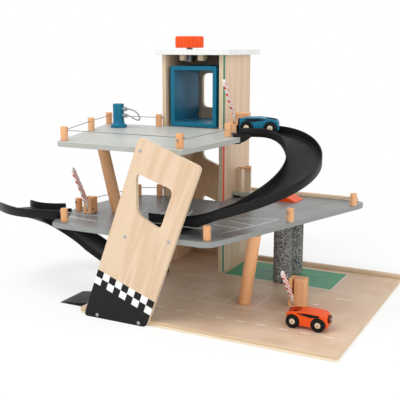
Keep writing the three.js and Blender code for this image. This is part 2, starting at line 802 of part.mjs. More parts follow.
// A channel with two rims that turns back on itself while it comes down one storey.
function makeTrack(name, x, y, turn, topLevel, drop, startLevel) {
  const half = trackWidth / 2;
  const wall = trackWall;
  const rim = trackFloor + trackRim;
  const section = [
    [-half, 0], [half, 0], [half, rim - trackLip], [half - wall / 4, rim], [half - wall, rim - trackLip],
    [half - wall, trackFloor], [-half + wall, trackFloor], [-half + wall, rim - trackLip],
    [-half + wall / 4, rim], [-half, rim - trackLip],
  ].map(([across, up]) => new THREE.Vector2(across, up));
  const length = trackLeadIn + trackArcLength + trackStraight;
  const fall = length - startLevel - trackEndLevel;
  const rings = [];
  for (let i = 0; i <= trackSteps; i += 1) {
    const s = (length * i) / trackSteps;
    const share = Math.min(Math.max((s - startLevel) / fall, 0), 1);
    const height = topLevel + seatGap - drop * eased(share);
    rings.push(section.map((p) => {
      const [px, py] = trackPoint(s, trackRadius + p.x);
      const c = Math.cos(turn);
      const t = Math.sin(turn);
      return [x + px * c - py * t, y + px * t + py * c, height + p.y];
    }));
  }
  add(name, loft(rings, section), blackPlastic);
}

// Place at length s on a track: a short straight, the arc and the long straight.
function trackPoint(s, r) {
  const along = s - trackLeadIn;
  if (along > trackArcLength) return [trackArcLength - along, -r];
  const angle = trackStartAngle - Math.max(along, 0) / trackRadius;
  const back = Math.min(along, 0);
  return [
    Math.cos(angle) * r + Math.sin(angle) * back,
    Math.sin(angle) * r - Math.cos(angle) * back,
  ];
}

// Straight in the middle, with a parabola at each end.
function eased(share) {
  const a = trackEaseShare;
  const slope = 1 / (1 - a);
  if (share < a) return (slope * share * share) / (2 * a);
  if (share > 1 - a) return 1 - (slope * (1 - share) ** 2) / (2 * a);
  return slope * (share - a / 2);
}

function makeRamps() {
  const entryEnd = baseLeft - seatGap;
  const entry = new THREE.Shape([
    new THREE.Vector2(entryEnd - entryRampX, 0),
    new THREE.Vector2(entryEnd, 0),
    new THREE.Vector2(entryEnd, baseThickness),
    new THREE.Vector2(entryEnd - entryRampX, entryRampNose),
  ]);
  add('entry_ramp', upright(entry, entryRampY, baseFront + entryRampInset), blackPlastic);
  const humpFoot = midTop + seatGap;
  const humpCentreX = towerRight + humpFromTower;
  const humpCentreY = baseBack - humpFromBack;
  const hump = new THREE.Shape([
    new THREE.Vector2(humpCentreX - humpX / 2, humpFoot),
    new THREE.Vector2(humpCentreX + humpX / 2, humpFoot),
    new THREE.Vector2(humpCentreX + humpX / 2, humpFoot + humpNose),
    new THREE.Vector2(humpCentreX, humpFoot + humpHeight),
    new THREE.Vector2(humpCentreX - humpX / 2, humpFoot + humpNose),
  ]);
  add('speed_hump', upright(hump, humpY, humpCentreY - humpY / 2), redPaint);
}

// A barrier is a slotted block with an arm that hinges in the slot on a cross pin.
function makeBarrier(name, x, y, floor, width, height, lean, pivot = pivotHeight) {
  const z = floor + seatGap;
  const block = roundedShape([
    [y - blockDepth / 2, z], [y + blockDepth / 2, z],
    [y + blockDepth / 2, z + height, blockEdge], [y - blockDepth / 2, z + height, blockEdge],
  ]);
  const body = new THREE.ExtrudeGeometry(block, { depth: width, bevelEnabled: false, curveSegments: 3 });
  body.rotateX(Math.PI / 2).rotateZ(Math.PI / 2).translate(x - width / 2, 0, 0);
  const slotX = x - width / 2 + blockWidth / 2;
  const pivotY = y - blockDepth / 2 + pivotInset;
  const pivotZ = z + pivot;
  const slotBack = pivotY + armBreadth / 2 + seatGap * 2;
  const slotFoot = pivotZ - armBreadth / 2 - seatGap * 2;
  const slot = brick(slotX - armSlot / 2, y - blockDepth / 2 - cutOverrun, slotFoot,
    slotX + armSlot / 2, slotBack, z + height + cutOverrun);
  add(`${name}_block`, cut(body, slot), beech);

  const arm = new THREE.Shape();
  const half = armBreadth / 2;
  arm.absarc(0, 0, half, -Math.PI / 2, Math.PI / 2, true);
  arm.lineTo(armLength - half, half);
  arm.lineTo(armLength, half * armTipShare);
  arm.lineTo(armLength, -half * armTipShare);
  arm.lineTo(armLength - half, -half);
  arm.closePath();
  const geometry = new THREE.ExtrudeGeometry(arm, { depth: armThickness, bevelEnabled: false, curveSegments: 10 });
  geometry.translate(0, 0, -armThickness / 2).rotateX(Math.PI / 2).rotateZ(-Math.PI / 2);
  geometry.rotateX(-(Math.PI / 2 - lean));
  add(`${name}_arm`, geometry.translate(slotX, pivotY, pivotZ), stripePaint);
}

// Brush rollers of the car wash, each turning on a pin at either end.
function makeRollers() {
  const bottom = baseThickness + rollerGap;
  const top = midUnder - rollerGap;
  ['wash_roller_front', 'wash_roller_back'].forEach((name, i) => {
    const steps = rollerRibs * 2;
    const outline = [];
    for (let k = 0; k < steps; k += 1) {
      const turn = (2 * Math.PI * k) / steps;
      const r = rollerRadius - (k % 2) * rollerRibDepth;
      outline.push(new THREE.Vector2(Math.cos(turn) * r, Math.sin(turn) * r));
    }
    const brush = plate(new THREE.Shape(outline), top - bottom, bottom, 1);
    const spindle = pin(rollerPin, 0, 0, baseThickness - rollerPinDepth, midUnder + rollerPinDepth);
    const y = rollerFrontY + i * rollerPitch;
    add(name, join(brush, spindle).translate(rollerX, y, 0), foam);
  });
}

// Toy car: a long flat body with rounded ends, a round seat pocket at the tail and a bumper knob
// at the nose, cut out for two wheelsets that each turn as one piece.
function makeCar(name, place, heading, pitch, finish) {
  const half = carLength / 2;
  const top = carClearance + carHeight;
  const side = upright(roundedShape([
    [-half, carClearance, carEdge],
    [half, carClearance, carEdge],
    [half, top - carNoseSlope, carNoseRadius],
    [0, top, carEdge],
    [-half, top - carTailDrop, carTailRadius],
  ]), carWidth, -carWidth / 2, 6);
  const flank = carWidth / 2 - carInset;
  const plan = plate(roundedShape([
    [-half, -flank, carTailRadius],
    [half, -flank, carNoseRadius],
    [half, flank, carNoseRadius],
    [-half, flank, carTailRadius],
  ]), top, 0, 6);
  const knob = new THREE.CylinderGeometry(bumperRadius, bumperRadius, bumperReach + carNoseRadius, 20);
  knob.rotateZ(Math.PI / 2).translate(half + (bumperReach - carNoseRadius) / 2, 0, top - bumperDrop);
  const inner = carWidth / 2 - wheelWidth - wheelGap;
  const tools = [pin(seatRadius, seatFromTail - half, 0, top - carTailDrop / 2 - seatDepth, top + cutOverrun, 28)];
  for (const x of [-wheelBase / 2, wheelBase / 2]) {
    for (const across of [-1, 1]) {
      const arch = new THREE.CylinderGeometry(wheelRadius + archClearance, wheelRadius + archClearance, carWidth, 24);
      tools.push(arch.translate(x, across * (inner + carWidth / 2), wheelRadius));
    }
    const bore = new THREE.CylinderGeometry(wheelAxle + axleClearance, wheelAxle + axleClearance, carWidth, 12);
    tools.push(bore.translate(x, 0, wheelRadius));
  }
  const carrier = new THREE.Matrix4().makeTranslation(...place)
    .multiply(new THREE.Matrix4().makeRotationZ(heading))
    .multiply(new THREE.Matrix4().makeRotationY(pitch));
  const body = surface(solid(side).intersect(solid(plan)));
  add(`${name}_body`, cut(join(body, knob), ...tools).applyMatrix4(carrier), finish);
  ['rear', 'front'].forEach((end, i) => {
    const outer = carWidth / 2;
    const face = outer - wheelWidth;
    const profile = [
      [0, -outer - hubDome], [hubRadius, -outer - hubStep], [hubRadius, -outer],
      [wheelRadius - wheelGap, -outer], [wheelRadius, -outer + wheelGap],
      [wheelRadius, -face - wheelGap], [wheelRadius - wheelGap, -face],
      [wheelAxle, -face], [wheelAxle, face], [wheelRadius - wheelGap, face],
      [wheelRadius, face + wheelGap], [wheelRadius, outer - wheelGap], [wheelRadius - wheelGap, outer],
      [hubRadius, outer], [hubRadius, outer + hubStep], [0, outer + hubDome],
    ].map(([r, z]) => new THREE.Vector2(r, z));
    const wheels = new THREE.LatheGeometry(profile, 20);
    wheels.translate((i === 0 ? -1 : 1) * wheelBase / 2, 0, wheelRadius);
    add(`${name}_${end}_wheels`, wheels.applyMatrix4(carrier), tyreBlack);
  });
}

makeFloors();
makePanel();
makeTower();
makeLift();
makeColumns();
makeRailings();
makeFuelColumn();
makeTrack('upper_track', upperTrackX, upperTrackY, 0, topTop, topTop - midTop, upperStartLevel);
makeTrack('lower_track', lowerTrackX, lowerTrackY, Math.PI, midTop, midTop - baseThickness, lowerStartLevel);
makeRamps();
makeBarrier('base_barrier', baseLeft + boothInset, baseFront + boothFromFront,
  baseThickness, boothWidth, boothHeight, baseArmLean);
makeBarrier('middle_barrier', midLeftFront + middleBarrierInset, baseFront + middleBarrierFromFront,
  midTop, blockWidth, middleBlockHeight, middleArmLean);
makeBarrier('top_barrier', towerRight + topBarrierFromTower, towerFront - topBarrierGap,
  topTop, topBlockWidth, blockHeight, topArmLean, topPivotHeight);
makeRollers();
makeCar('red_car', [baseLeft + redCarInset, baseFront + redCarFromFront, baseThickness + seatGap],
  0, 0, redPaint);

// The blue car stands backwards on the level start of the upper track, with its nose to the deck.
const carRest = topTop + trackFloor + 3 * seatGap;
makeCar('blue_car', [
  upperTrackX + Math.cos(carTrackAngle) * trackRadius,
  upperTrackY + Math.sin(carTrackAngle) * trackRadius,
  carRest,
], carTrackAngle + Math.PI / 2, 0, tealPaint);

export default group;
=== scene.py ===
# %% [markdown]
# A wooden toy parking garage with three floors, a lift tower and two moulded tracks.
# The measured solids come in as a fixed frame, in metres. This lesson dresses them:
# it rebuilds the pieces whose edges or surfaces matter, and gives every piece a finish.

# %% Load the frame
import math
import bmesh
import bpy
from mathutils import Matrix, Vector, noise


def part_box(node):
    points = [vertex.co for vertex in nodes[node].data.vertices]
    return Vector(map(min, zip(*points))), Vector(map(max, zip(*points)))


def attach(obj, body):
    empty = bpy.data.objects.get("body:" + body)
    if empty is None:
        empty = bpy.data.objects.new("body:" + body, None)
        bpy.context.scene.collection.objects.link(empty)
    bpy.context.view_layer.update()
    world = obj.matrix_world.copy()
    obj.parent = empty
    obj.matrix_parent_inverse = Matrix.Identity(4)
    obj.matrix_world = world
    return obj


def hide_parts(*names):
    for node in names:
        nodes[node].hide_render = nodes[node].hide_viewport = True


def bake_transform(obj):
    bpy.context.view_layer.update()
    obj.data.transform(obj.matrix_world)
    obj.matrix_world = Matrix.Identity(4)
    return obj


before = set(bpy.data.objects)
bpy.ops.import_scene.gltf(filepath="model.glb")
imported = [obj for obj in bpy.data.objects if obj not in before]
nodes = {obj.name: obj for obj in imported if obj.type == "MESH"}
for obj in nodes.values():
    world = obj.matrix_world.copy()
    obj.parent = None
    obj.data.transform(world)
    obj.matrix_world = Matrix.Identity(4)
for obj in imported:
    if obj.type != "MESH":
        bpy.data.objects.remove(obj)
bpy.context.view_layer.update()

# %% [markdown]
# The camera stands where the photographer stood: to the right of the garage's front, a little
# above the top floor, and it looks down by about twelve degrees. A long lens keeps the
# upright edges nearly parallel, so the lens and the distance were found together.

# %% Camera
CAMERA_PLACE = Vector((0.5685, -1.329, 0.5))
CAMERA_AIM = Vector((-0.4475, 0.8705, -0.2028))
LENS = 66.6

camera_data = bpy.data.cameras.new("camera")
camera_data.lens = LENS
camera_data.sensor_width = 36
camera_data.clip_start = 0.05
camera_data.clip_end = 40
camera = bpy.data.objects.new("camera", camera_data)
camera.location = CAMERA_PLACE
camera.rotation_euler = CAMERA_AIM.to_track_quat("-Z", "Y").to_euler()
bpy.context.scene.collection.objects.link(camera)
bpy.context.scene.camera = camera
print("camera at", tuple(round(x, 3) for x in camera.location))

# %% [markdown]
# A finish is a small network of shader nodes. Written node by node it is long and hard to read,
# so one small class lets a socket stand in a sum: `1 - mask * 0.5` adds the Math nodes itself.
# Everything that isn't a sum on values goes through one method, `node`.

# %% Sums on shader sockets
class Value:
    """A socket that can be used in a sum."""

    def __init__(self, network, socket):
        self.network = network
        self.socket = socket

    def of(self, name):
        """Another output of the same node."""
        return Value(self.network, self.socket.node.outputs[name])

    def math(self, operation, first, second=None):
        inputs = {0: first}
        if second is not None:
            inputs[1] = second
        return self.network.node("ShaderNodeMath", {"operation": operation}, inputs)

    def __add__(self, other):
        return self.math("ADD", self, other)

    def __sub__(self, other):
        return self.math("SUBTRACT", self, other)

    def __rsub__(self, other):
        return self.math("SUBTRACT", other, self)

    def __mul__(self, other):
        return self.math("MULTIPLY", self, other)

    def __truediv__(self, other):
        return self.math("DIVIDE", self, other)

    def __lt__(self, other):
        return self.math("LESS_THAN", self, other)

    def __gt__(self, other):
        return self.math("GREATER_THAN", self, other)

    def __mod__(self, other):
        return self.math("FLOORED_MODULO", self, other)

    __radd__ = __add__
    __rmul__ = __mul__

    def size(self):
        return self.math("ABSOLUTE", self)

    def step(self):
        return self.math("FLOOR", self)

    def sine(self):
        return self.math("SINE", self)

    def least(self, other):
        return self.math("MINIMUM", self, other)

    def most(self, other):
        return self.math("MAXIMUM", self, other)

    def spread(self, low, high, to_low=0.0, to_high=1.0):
        """Maps low..high to to_low..to_high, and holds it there outside."""
        settings = {"clamp": True, "interpolation_type": "SMOOTHSTEP"}
        inputs = {0: self, 1: low, 2: high, 3: to_low, 4: to_high}
        return self.network.node("ShaderNodeMapRange", settings, inputs)


def linear(red, green, blue):
    """A colour as a paint chart gives it, 0 to 255, turned into light."""
    out = []
    for part in (red, green, blue):
        share = part / 255
        out.append(share / 12.92 if share < 0.04045 else ((share + 0.055) / 1.055) ** 2.4)
    return (*out, 1.0)


print("sums are ready")

# %% [markdown]
# A network is any tree of shader nodes, of a material or of the sky. All its nodes come from one
# method, `node`, which sets a node's settings first and then fills its sockets with plain
# numbers or with links from other nodes.

# %% The node method
class Network:
    """A node tree with one method that makes any node."""

    def __init__(self, tree):
        self.tree = tree

    def join(self, value, socket):
        if isinstance(value, Value):
            self.tree.links.new(value.socket, socket)
            return
        if hasattr(socket.default_value, "__len__") and not hasattr(value, "__len__"):
            value = [value] * len(socket.default_value)
        socket.default_value = value

    def node(self, kind, settings=None, inputs=None, output=0):
        """Any node: its settings first, then the values or links of its sockets."""
        made = self.tree.nodes.new(kind)
        for name, value in (settings or {}).items():
            setattr(made, name, value)
        for name, value in (inputs or {}).items():
            self.join(value, made.inputs[name])
        return Value(self, made.outputs[output])


print("the node method is ready")

# %% [markdown]
# A finish starts as a Principled shader with plain numbers on its sockets, and the methods
# below link what changes over the surface: colour, roughness and a bump. Positions are read in
# the object's own coordinates, so the grain rides along when a piece moves.

# %% The finish class
class Finish(Network):
    """A material with the few tools that its node network needs."""

    def __init__(self, name, roughness, coat=0.0, coat_roughness=0.2, metallic=0.0, specular=0.25):
        self.material = bpy.data.materials.new(name)
        self.material.use_nodes = True
        super().__init__(self.material.node_tree)
        self.shader = self.tree.nodes["Principled BSDF"]
        self.shader.inputs["Roughness"].default_value = roughness
        self.shader.inputs["Metallic"].default_value = metallic
        self.shader.inputs["Coat Weight"].default_value = coat
        self.shader.inputs["Coat Roughness"].default_value = coat_roughness
        self.shader.inputs["Specular IOR Level"].default_value = specular
        self.places = self.node("ShaderNodeTexCoord", output="Object")
        self.x = self.node("ShaderNodeSeparateXYZ", inputs={0: self.places}, output="X")
        self.y = self.x.of("Y")
        self.z = self.x.of("Z")
        self.normal = self.places.of("Normal")

    def facing(self, axis):
        """How far the surface faces along an axis, from -1 to 1."""
        return self.node("ShaderNodeSeparateXYZ", inputs={0: self.normal}, output=axis)

    def stretched(self, scale, turn=(0.0, 0.0, 0.0)):
        """The place of each point in a turned frame, then scaled along each axis, for a long grain."""
        inputs = {"Vector": self.places, "Rotation": turn, "Scale": tuple(1 / part for part in scale)}
        return self.node("ShaderNodeMapping", {"vector_type": "TEXTURE"}, inputs)

    def noise(self, scale, detail=3.0, roughness=0.55, at=None, distortion=0.0):
        inputs = {
            "Vector": self.places if at is None else at,
            "Scale": scale,
            "Detail": detail,
            "Roughness": roughness,
            "Distortion": distortion,
        }
        return self.node("ShaderNodeTexNoise", inputs=inputs)

    def mix(self, mask, first, second):
        """A colour between two colours, by a mask from 0 to 1."""
        settings = {"data_type": "RGBA", "blend_type": "MIX"}
        return self.node("ShaderNodeMix", settings, {0: mask, 6: first, 7: second}, output=2)

    def colour(self, value):
        self.join(value, self.shader.inputs["Base Color"])

    def roughness(self, value):
        self.join(value, self.shader.inputs["Roughness"])

    def bump(self, height, distance, strength):
        inputs = {"Height": height, "Distance": distance, "Strength": strength}
        normal = self.node("ShaderNodeBump", inputs=inputs)
        self.join(normal, self.shader.inputs["Normal"])


print("the finish class is ready")

# %% [markdown]
# Wood is drawn in three sizes. Broad rings run along the grain as slow waves, fine fibres are
# the same noise pulled out much further, and small dark flecks are the pores. Birch is pale
# and quiet, beech is warmer and full of short flecks. A turn from `towards` lays the grain
# along any direction, because the noise is stretched after the turn.

# %% Wood grain
FIBRE_ACROSS = 700.0
FIBRE_ALONG = 16.0
RING_ACROSS = 26.0
RING_ALONG = 2.0


def grain(finish, turn, rings=30.0):
    """Fibre and ring masks for a grain along the turned X axis."""
    fibre_place = finish.stretched((FIBRE_ALONG, FIBRE_ACROSS, FIBRE_ACROSS), turn)
    fibre = finish.noise(1.0, 4.0, 0.6, at=fibre_place)
    ring_place = finish.stretched((RING_ALONG, RING_ACROSS, RING_ACROSS), turn)
    broad = finish.noise(1.0, 2.0, 0.5, at=ring_place, distortion=0.4)
    ring = (broad * rings).sine() * 0.5 + 0.5
    return fibre, ring, broad


def flecks(finish, turn, along, across, amount):
    """Short dark marks along the grain."""
    place = finish.stretched((along, across, across), turn)
    spots = finish.noise(1.0, 1.0, 0.5, at=place)
    return spots.spread(amount, amount + 0.05)


def towards(*direction):
    """The turn that lays the grain along a direction."""
    return tuple(Vector((1, 0, 0)).rotation_difference(Vector(direction)).to_euler())


LENGTHWAYS = towards(1, 0, 0)
UPWARDS = towards(0, 0, 1)
BACKWARDS = towards(0, 1, 0)


def wood_colour(finish, turn, light, dark, fleck, fleck_share, rings=30.0):
    """The wood's colour, and the fibre mask for its roughness and bump."""
    fibre, ring, broad = grain(finish, turn, rings)
    tone = fibre * 0.4 + ring * 0.3 + broad * 0.3
    colour = finish.mix(tone.spread(0.25, 0.85), light, dark)
    marks = flecks(finish, turn, along=130.0, across=1500.0, amount=0.66) * fleck_share
    return finish.mix(marks, colour, fleck), fibre


print("grain is ready")

# %% [markdown]
# Plywood shows its layers only on the cut edges. The mask for an edge is the surface's own
# direction: where it doesn't face the board's thickness, the layers are drawn by counting
# along the thickness. Every second layer is end grain and looks darker, and a thin dark
# glue line parts them.

# %% Plywood
BIRCH_LIGHT = linear(228, 203, 175)
BIRCH_DARK = linear(215, 184, 152)
BIRCH_FLECK = linear(205, 172, 136)
LAYER_LIGHT = linear(240, 226, 200)
LAYER_DARK = linear(205, 172, 132)
GLUE_LINE = linear(120, 88, 62)


def edge_mask(finish, axis):
    """1 on a board's cut edges, 0 on its two faces."""
    return finish.facing(axis).size() < 0.6


def layer_colour(finish, axis, start, thickness, layers):
    """The colours of the layers, counted from start along the thickness."""
    place = {"X": finish.x, "Y": finish.y, "Z": finish.z}[axis]
    wander = (finish.noise(30.0, 2.0) - 0.5) * 0.35
    count = (place - start) / (thickness / layers) + wander
    dark = (count % 2.0) > 1.0
    streak = finish.noise(1.0, 3.0, at=finish.stretched((260.0, 260.0, 1800.0)))
    colour = finish.mix(dark * 0.75, LAYER_LIGHT, LAYER_DARK)
    colour = finish.mix(streak.spread(0.35, 0.7) * 0.4, colour, LAYER_DARK)
    seam = ((count % 1.0) - 0.5).size() > 0.43
    return finish.mix(seam * 0.55, colour, GLUE_LINE)


def board(name, axis, start, thickness, turn, face=None, roughness=0.5, layers=5, edge_tone=None):
    """Lacquered plywood. face(finish, wood) may print on the faces, and edge_tone may paint the edges."""
    finish = Finish(name, roughness, coat=0.06, coat_roughness=0.35)
    wood, fibre = wood_colour(finish, turn, BIRCH_LIGHT, BIRCH_DARK, BIRCH_FLECK, fleck_share=0.35)
    if face is not None:
        wood = face(finish, wood)
    edges = layer_colour(finish, axis, start, thickness, layers)
    if edge_tone is not None:
        edges = finish.mix(0.9, edges, edge_tone)
    finish.colour(finish.mix(edge_mask(finish, axis), wood, edges))
    finish.roughness(fibre.spread(0.2, 0.8, roughness - 0.06, roughness + 0.1))
    finish.bump(fibre, distance=0.00012, strength=0.5)
    return finish


print("plywood is ready")

# %% [markdown]
# Paint on wood is never quite flat. It is thin on the corners, where handling has rubbed it
# to a lighter tone, and the wood's grain still lifts it a little. The Bevel node looks
# around each point, and where the result turns away from the true surface there is an edge.

# %% Paint
DEEPER = 0.86


def edge_wear(finish, reach):
    """1 close to a sharp edge, broken up by noise."""
    around = finish.node("ShaderNodeBevel", {"samples": 4}, {"Radius": reach})
    straight = finish.node("ShaderNodeNewGeometry", output="Normal")
    compare = {"operation": "DOT_PRODUCT"}
    alike = finish.node("ShaderNodeVectorMath", compare, {0: around, 1: straight}, output="Value")
    patches = finish.noise(140.0, 4.0, 0.65)
    return (1 - alike).spread(0.02, 0.16) * patches.spread(0.4, 0.62)


def paint(name, colour, worn, wear=0.6):
    """Paint over wood, worn to a second tone along its edges."""
    finish = Finish(name, roughness=0.4, coat=0.08, coat_roughness=0.25)
    fibre = grain(finish, LENGTHWAYS)[0]
    cloud = finish.noise(22.0, 3.0)
    deep = tuple(part * DEEPER for part in colour[:3]) + (1.0,)
    body = finish.mix(cloud.spread(0.3, 0.7) * 0.5 + fibre * 0.25, colour, deep)
    finish.colour(finish.mix(edge_wear(finish, 0.0012) * wear, body, worn))
    finish.roughness(cloud.spread(0.25, 0.75, 0.35, 0.48))
    finish.bump(fibre * 0.6 + finish.noise(900.0, 2.0) * 0.4, distance=0.00008, strength=0.4)
    return finish


TEAL = paint("teal_paint", linear(0, 112, 144), linear(40, 142, 168))
RED = paint("red_paint", linear(245, 86, 20), linear(250, 140, 84))
WHITE = paint("white_paint", linear(243, 244, 242), linear(226, 214, 196), wear=0.5)
print("paints:", TEAL.material.name, RED.material.name, WHITE.material.name)

# %% [markdown]
# Beech is used for everything turned or sawn from the solid: posts, columns and barrier
# blocks. Its mark is the short brown fleck of the wood rays, which the finish scatters
# along the grain.

# %% Beech
BEECH_LIGHT = linear(237, 183, 135)
BEECH_DARK = linear(222, 158, 108)
BEECH_FLECK = linear(176, 112, 68)


def beech(name, turn, light=BEECH_LIGHT, dark=BEECH_DARK):
    finish = Finish(name, roughness=0.5, coat=0.1, coat_roughness=0.35)
    wood, fibre = wood_colour(finish, turn, light, dark, BEECH_FLECK, fleck_share=0.6, rings=22.0)
    rays = flecks(finish, turn, along=320.0, across=2600.0, amount=0.62) * 0.5
    finish.colour(finish.mix(rays, wood, BEECH_FLECK))
    finish.roughness(fibre.spread(0.2, 0.8, 0.42, 0.6))
    finish.bump(fibre, distance=0.00015, strength=0.5)
    return finish


BEECH_UP = beech("beech_upright", UPWARDS)
print("beech:", BEECH_UP.material.name)

# %% [markdown]
# The tracks are injection moulded in black plastic with a fine leather-like texture that hides
# scratches. Cars have polished the driving lane a little, so its roughness varies in
# long soft patches. The same recipe in grey makes the nozzles and the hose.

# %% Moulded plastic and rubber
def plastic(name, colour, roughness, scratch):
    finish = Finish(name, roughness, specular=0.18)
    cell_inputs = {"Vector": finish.places, "Scale": 1100.0}
    cells = finish.node("ShaderNodeTexVoronoi", {"feature": "SMOOTH_F1"}, cell_inputs)
    patches = finish.noise(18.0, 4.0, 0.6)
    dust = finish.noise(240.0, 5.0, 0.7)
    finish.colour(finish.mix(dust.spread(0.55, 0.8) * 0.35, colour, scratch))
    finish.roughness(patches.spread(0.3, 0.7, roughness - 0.08, roughness + 0.1))
    finish.bump(cells, distance=0.00012, strength=0.35)
    return finish


BLACK = plastic("black_plastic", linear(22, 21, 22), 0.42, linear(58, 57, 58))
GREY = plastic("grey_plastic", linear(150, 156, 160), 0.4, linear(190, 194, 198))
TYRE = plastic("tyre_rubber", linear(18, 18, 19), 0.6, linear(48, 48, 49))
print("plastics:", BLACK.material.name, GREY.material.name, TYRE.material.name)

# %% [markdown]
# The winch shaft, the axles and the screws are drawn steel: a metal whose fine lines run one
# way. The cords are matt yarn, with a fuzz of noise that is lighter where the fibres stand out.

# %% Steel and yarn
def steel(name, dark, light):
    finish = Finish(name, roughness=0.32, metallic=1.0)
    brushed = finish.noise(1.0, 3.0, at=finish.stretched((2200.0, 2200.0, 60.0)))
    finish.colour(finish.mix(brushed, dark, light))
    finish.roughness(brushed.spread(0.3, 0.7, 0.24, 0.42))
    finish.bump(brushed, distance=0.00004, strength=0.4)
    return finish


def yarn(name, light, dark):
    finish = Finish(name, roughness=0.85, specular=0.2)
    fuzz = finish.noise(2600.0, 3.0)
    finish.colour(finish.mix(fuzz.spread(0.35, 0.65), dark, light))
    finish.bump(fuzz, distance=0.0001, strength=0.6)
    return finish


STEEL_DARK = linear(96, 96, 98)
STEEL_LIGHT = linear(140, 140, 142)
STEEL = steel("dark_steel", STEEL_DARK, STEEL_LIGHT)
SCREW = steel("screw_steel", STEEL_DARK, STEEL_LIGHT)
PALE_STEEL = steel("pale_screw_steel", linear(150, 152, 154), linear(206, 208, 210))
CORD = yarn("cord_yarn", linear(176, 176, 172), linear(110, 110, 108))
print("metals and yarn:", STEEL.material.name, SCREW.material.name, CORD.material.name)

# %% [markdown]
# Every piece starts as an empty bmesh that a few small helpers fill. `publish` turns it into an
# object, gives it its finish, lets it ride on the body that it moves with, and says which
# measured solid it stands for. A face that bends by less than `smooth` degrees against its
# neighbour is shaded as one soft surface.

# %% Pieces
def publish(name, shape, finish, body="garage", stands_for=(), smooth=40):
    """Turns a bmesh into a finished piece that rides on its body."""
    mesh = bpy.data.meshes.new(name)
    bmesh.ops.recalc_face_normals(shape, faces=shape.faces)
    shape.to_mesh(mesh)
    shape.free()
    mesh.shade_smooth()
    mesh.set_sharp_from_angle(angle=math.radians(smooth))
    piece = bpy.data.objects.new(name, mesh)
    bpy.context.scene.collection.objects.link(piece)
    mesh.materials.append(finish.material)
    if body:
        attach(piece, body)
    if stands_for:
        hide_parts(*stands_for)
    return piece


def millimetres(*values):
    return tuple(value / 1000 for value in values)


def middle_of(node):
    """The middle of a measured solid."""
    low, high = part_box(node)
    return Vector((low[0] + high[0], low[1] + high[1], low[2] + high[2])) / 2


print("pieces can be published")

# %% [markdown]
# Much of this toy is turned wood. Blender's Screw modifier could turn an outline too, but here
# `lathe` makes the rings itself, so that a `ripple` may move each corner: it cuts the flutes of
# the knob and roughens the rollers. `quarter` gives the rounded corners of every outline, and
# `laid` turns a shape and then lays it on its side, for axles, nozzles and caps.

# %% Skins, turned shapes and sweeps
ORIGIN = (0.0, 0.0)
AXIS_REACH = 1e-6


def turns_of(count):
    """Equal turns of one full circle."""
    return [2 * math.pi * k / count for k in range(count)]


def quarter(first, steps):
    """A rounded corner: how far each point lies inside the corner's first and second side."""
    turns = [math.pi / 2 * k / steps for k in range(first, steps + 1)]
    return [(1 - math.sin(turn), 1 - math.cos(turn)) for turn in turns]


def skin(shape, low, high):
    """Closes the side between two rings that have the same number of corners."""
    count = len(low)
    for k in range(count):
        nxt = (k + 1) % count
        shape.faces.new((low[k], low[nxt], high[nxt], high[k]))


def lathe(outline, centre, segments=48, ripple=None):
    """An outline of (radius, height) pairs turned about an upright axis."""
    shape = bmesh.new()
    rings = []
    for radius, height in outline:
        if radius < AXIS_REACH:
            rings.append([shape.verts.new((centre[0], centre[1], height))])
            continue
        ring = []
        for turn in turns_of(segments):
            reach = radius if ripple is None else ripple(radius, turn, height)
            place = (centre[0] + math.cos(turn) * reach, centre[1] + math.sin(turn) * reach, height)
            ring.append(shape.verts.new(place))
        rings.append(ring)
    for low, high in zip(rings, rings[1:]):
        if len(low) > 1 and len(high) > 1:
            skin(shape, low, high)
            continue
        for k in range(segments):
            nxt = (k + 1) % segments
            corners = (low[0], high[nxt], high[k]) if len(low) == 1 else (low[k], low[nxt], high[0])
            shape.faces.new(corners)
    return shape


def laid(outline, placing, segments, axis="Y"):
    """A turned shape that is laid on its side, then placed by a matrix."""
    shape = lathe(outline, ORIGIN, segments)
    shape.transform(placing @ Matrix.Rotation(math.pi / 2, 4, axis))
    return shape


def sweep(rings):
    """A closed skin over rings that all have the same number of points."""
    shape = bmesh.new()
    made = [[shape.verts.new(place) for place in ring] for ring in rings]
    for low, high in zip(made, made[1:]):
        skin(shape, low, high)
    shape.faces.new(list(reversed(made[0])))
    shape.faces.new(made[-1])
    return shape


def hoop(places, centre, radius, sides):
    """A tube along a closed line of places around a centre."""
    shape = bmesh.new()
    made = []
    for i, place in enumerate(places):
        ahead = (places[(i + 1) % len(places)] - places[i - 1]).normalized()
        outward = (place - centre).normalized()
        outward = (outward - ahead * outward.dot(ahead)).normalized()
        up = ahead.cross(outward)
        ring = [place + (outward * math.cos(t) + up * math.sin(t)) * radius for t in turns_of(sides)]
        made.append([shape.verts.new(corner) for corner in ring])
    for low, high in zip(made, made[1:] + made[:1]):
        skin(shape, low, high)
    return shape


print("turned and swept shapes are ready")

# %% [markdown]
# Sawn pieces and sheets of ink are slabs: a level outline at the foot, the same at the top, and
# a side between them. `raised` lifts a flat outline to one height, or corner by corner.

# %% Slabs
def raised(outline, heights):
    """A flat outline of (x, y) at one height, or at a list of heights."""
    if not isinstance(heights, list):
        heights = [heights] * len(outline)
    return [(x, y, z) for (x, y), z in zip(outline, heights)]


def slab(shape, foot, top):
    """Adds a closed block between two outlines with the same number of corners."""
    low = [shape.verts.new(place) for place in foot]
    high = [shape.verts.new(place) for place in top]
    shape.faces.new(list(reversed(low)))
    shape.faces.new(high)
    skin(shape, low, high)


def block(shape, low, high):
    """Adds a square block between its lowest and its highest corner."""
    outline = [low[:2], (high[0], low[1]), high[:2], (low[0], high[1])]
    slab(shape, raised(outline, low[2]), raised(outline, high[2]))
    return shape


print("slabs are ready")

# %% [markdown]
# A measured solid has sharp edges and is cut into triangles. `softened` copies it, joins its
# triangles into whole faces and gives it a small rounded edge, as sanding would. The rounding
# is a Bevel modifier, so that its width can still be changed.

# %% Softened solids
SAME_PLACE = 1e-6


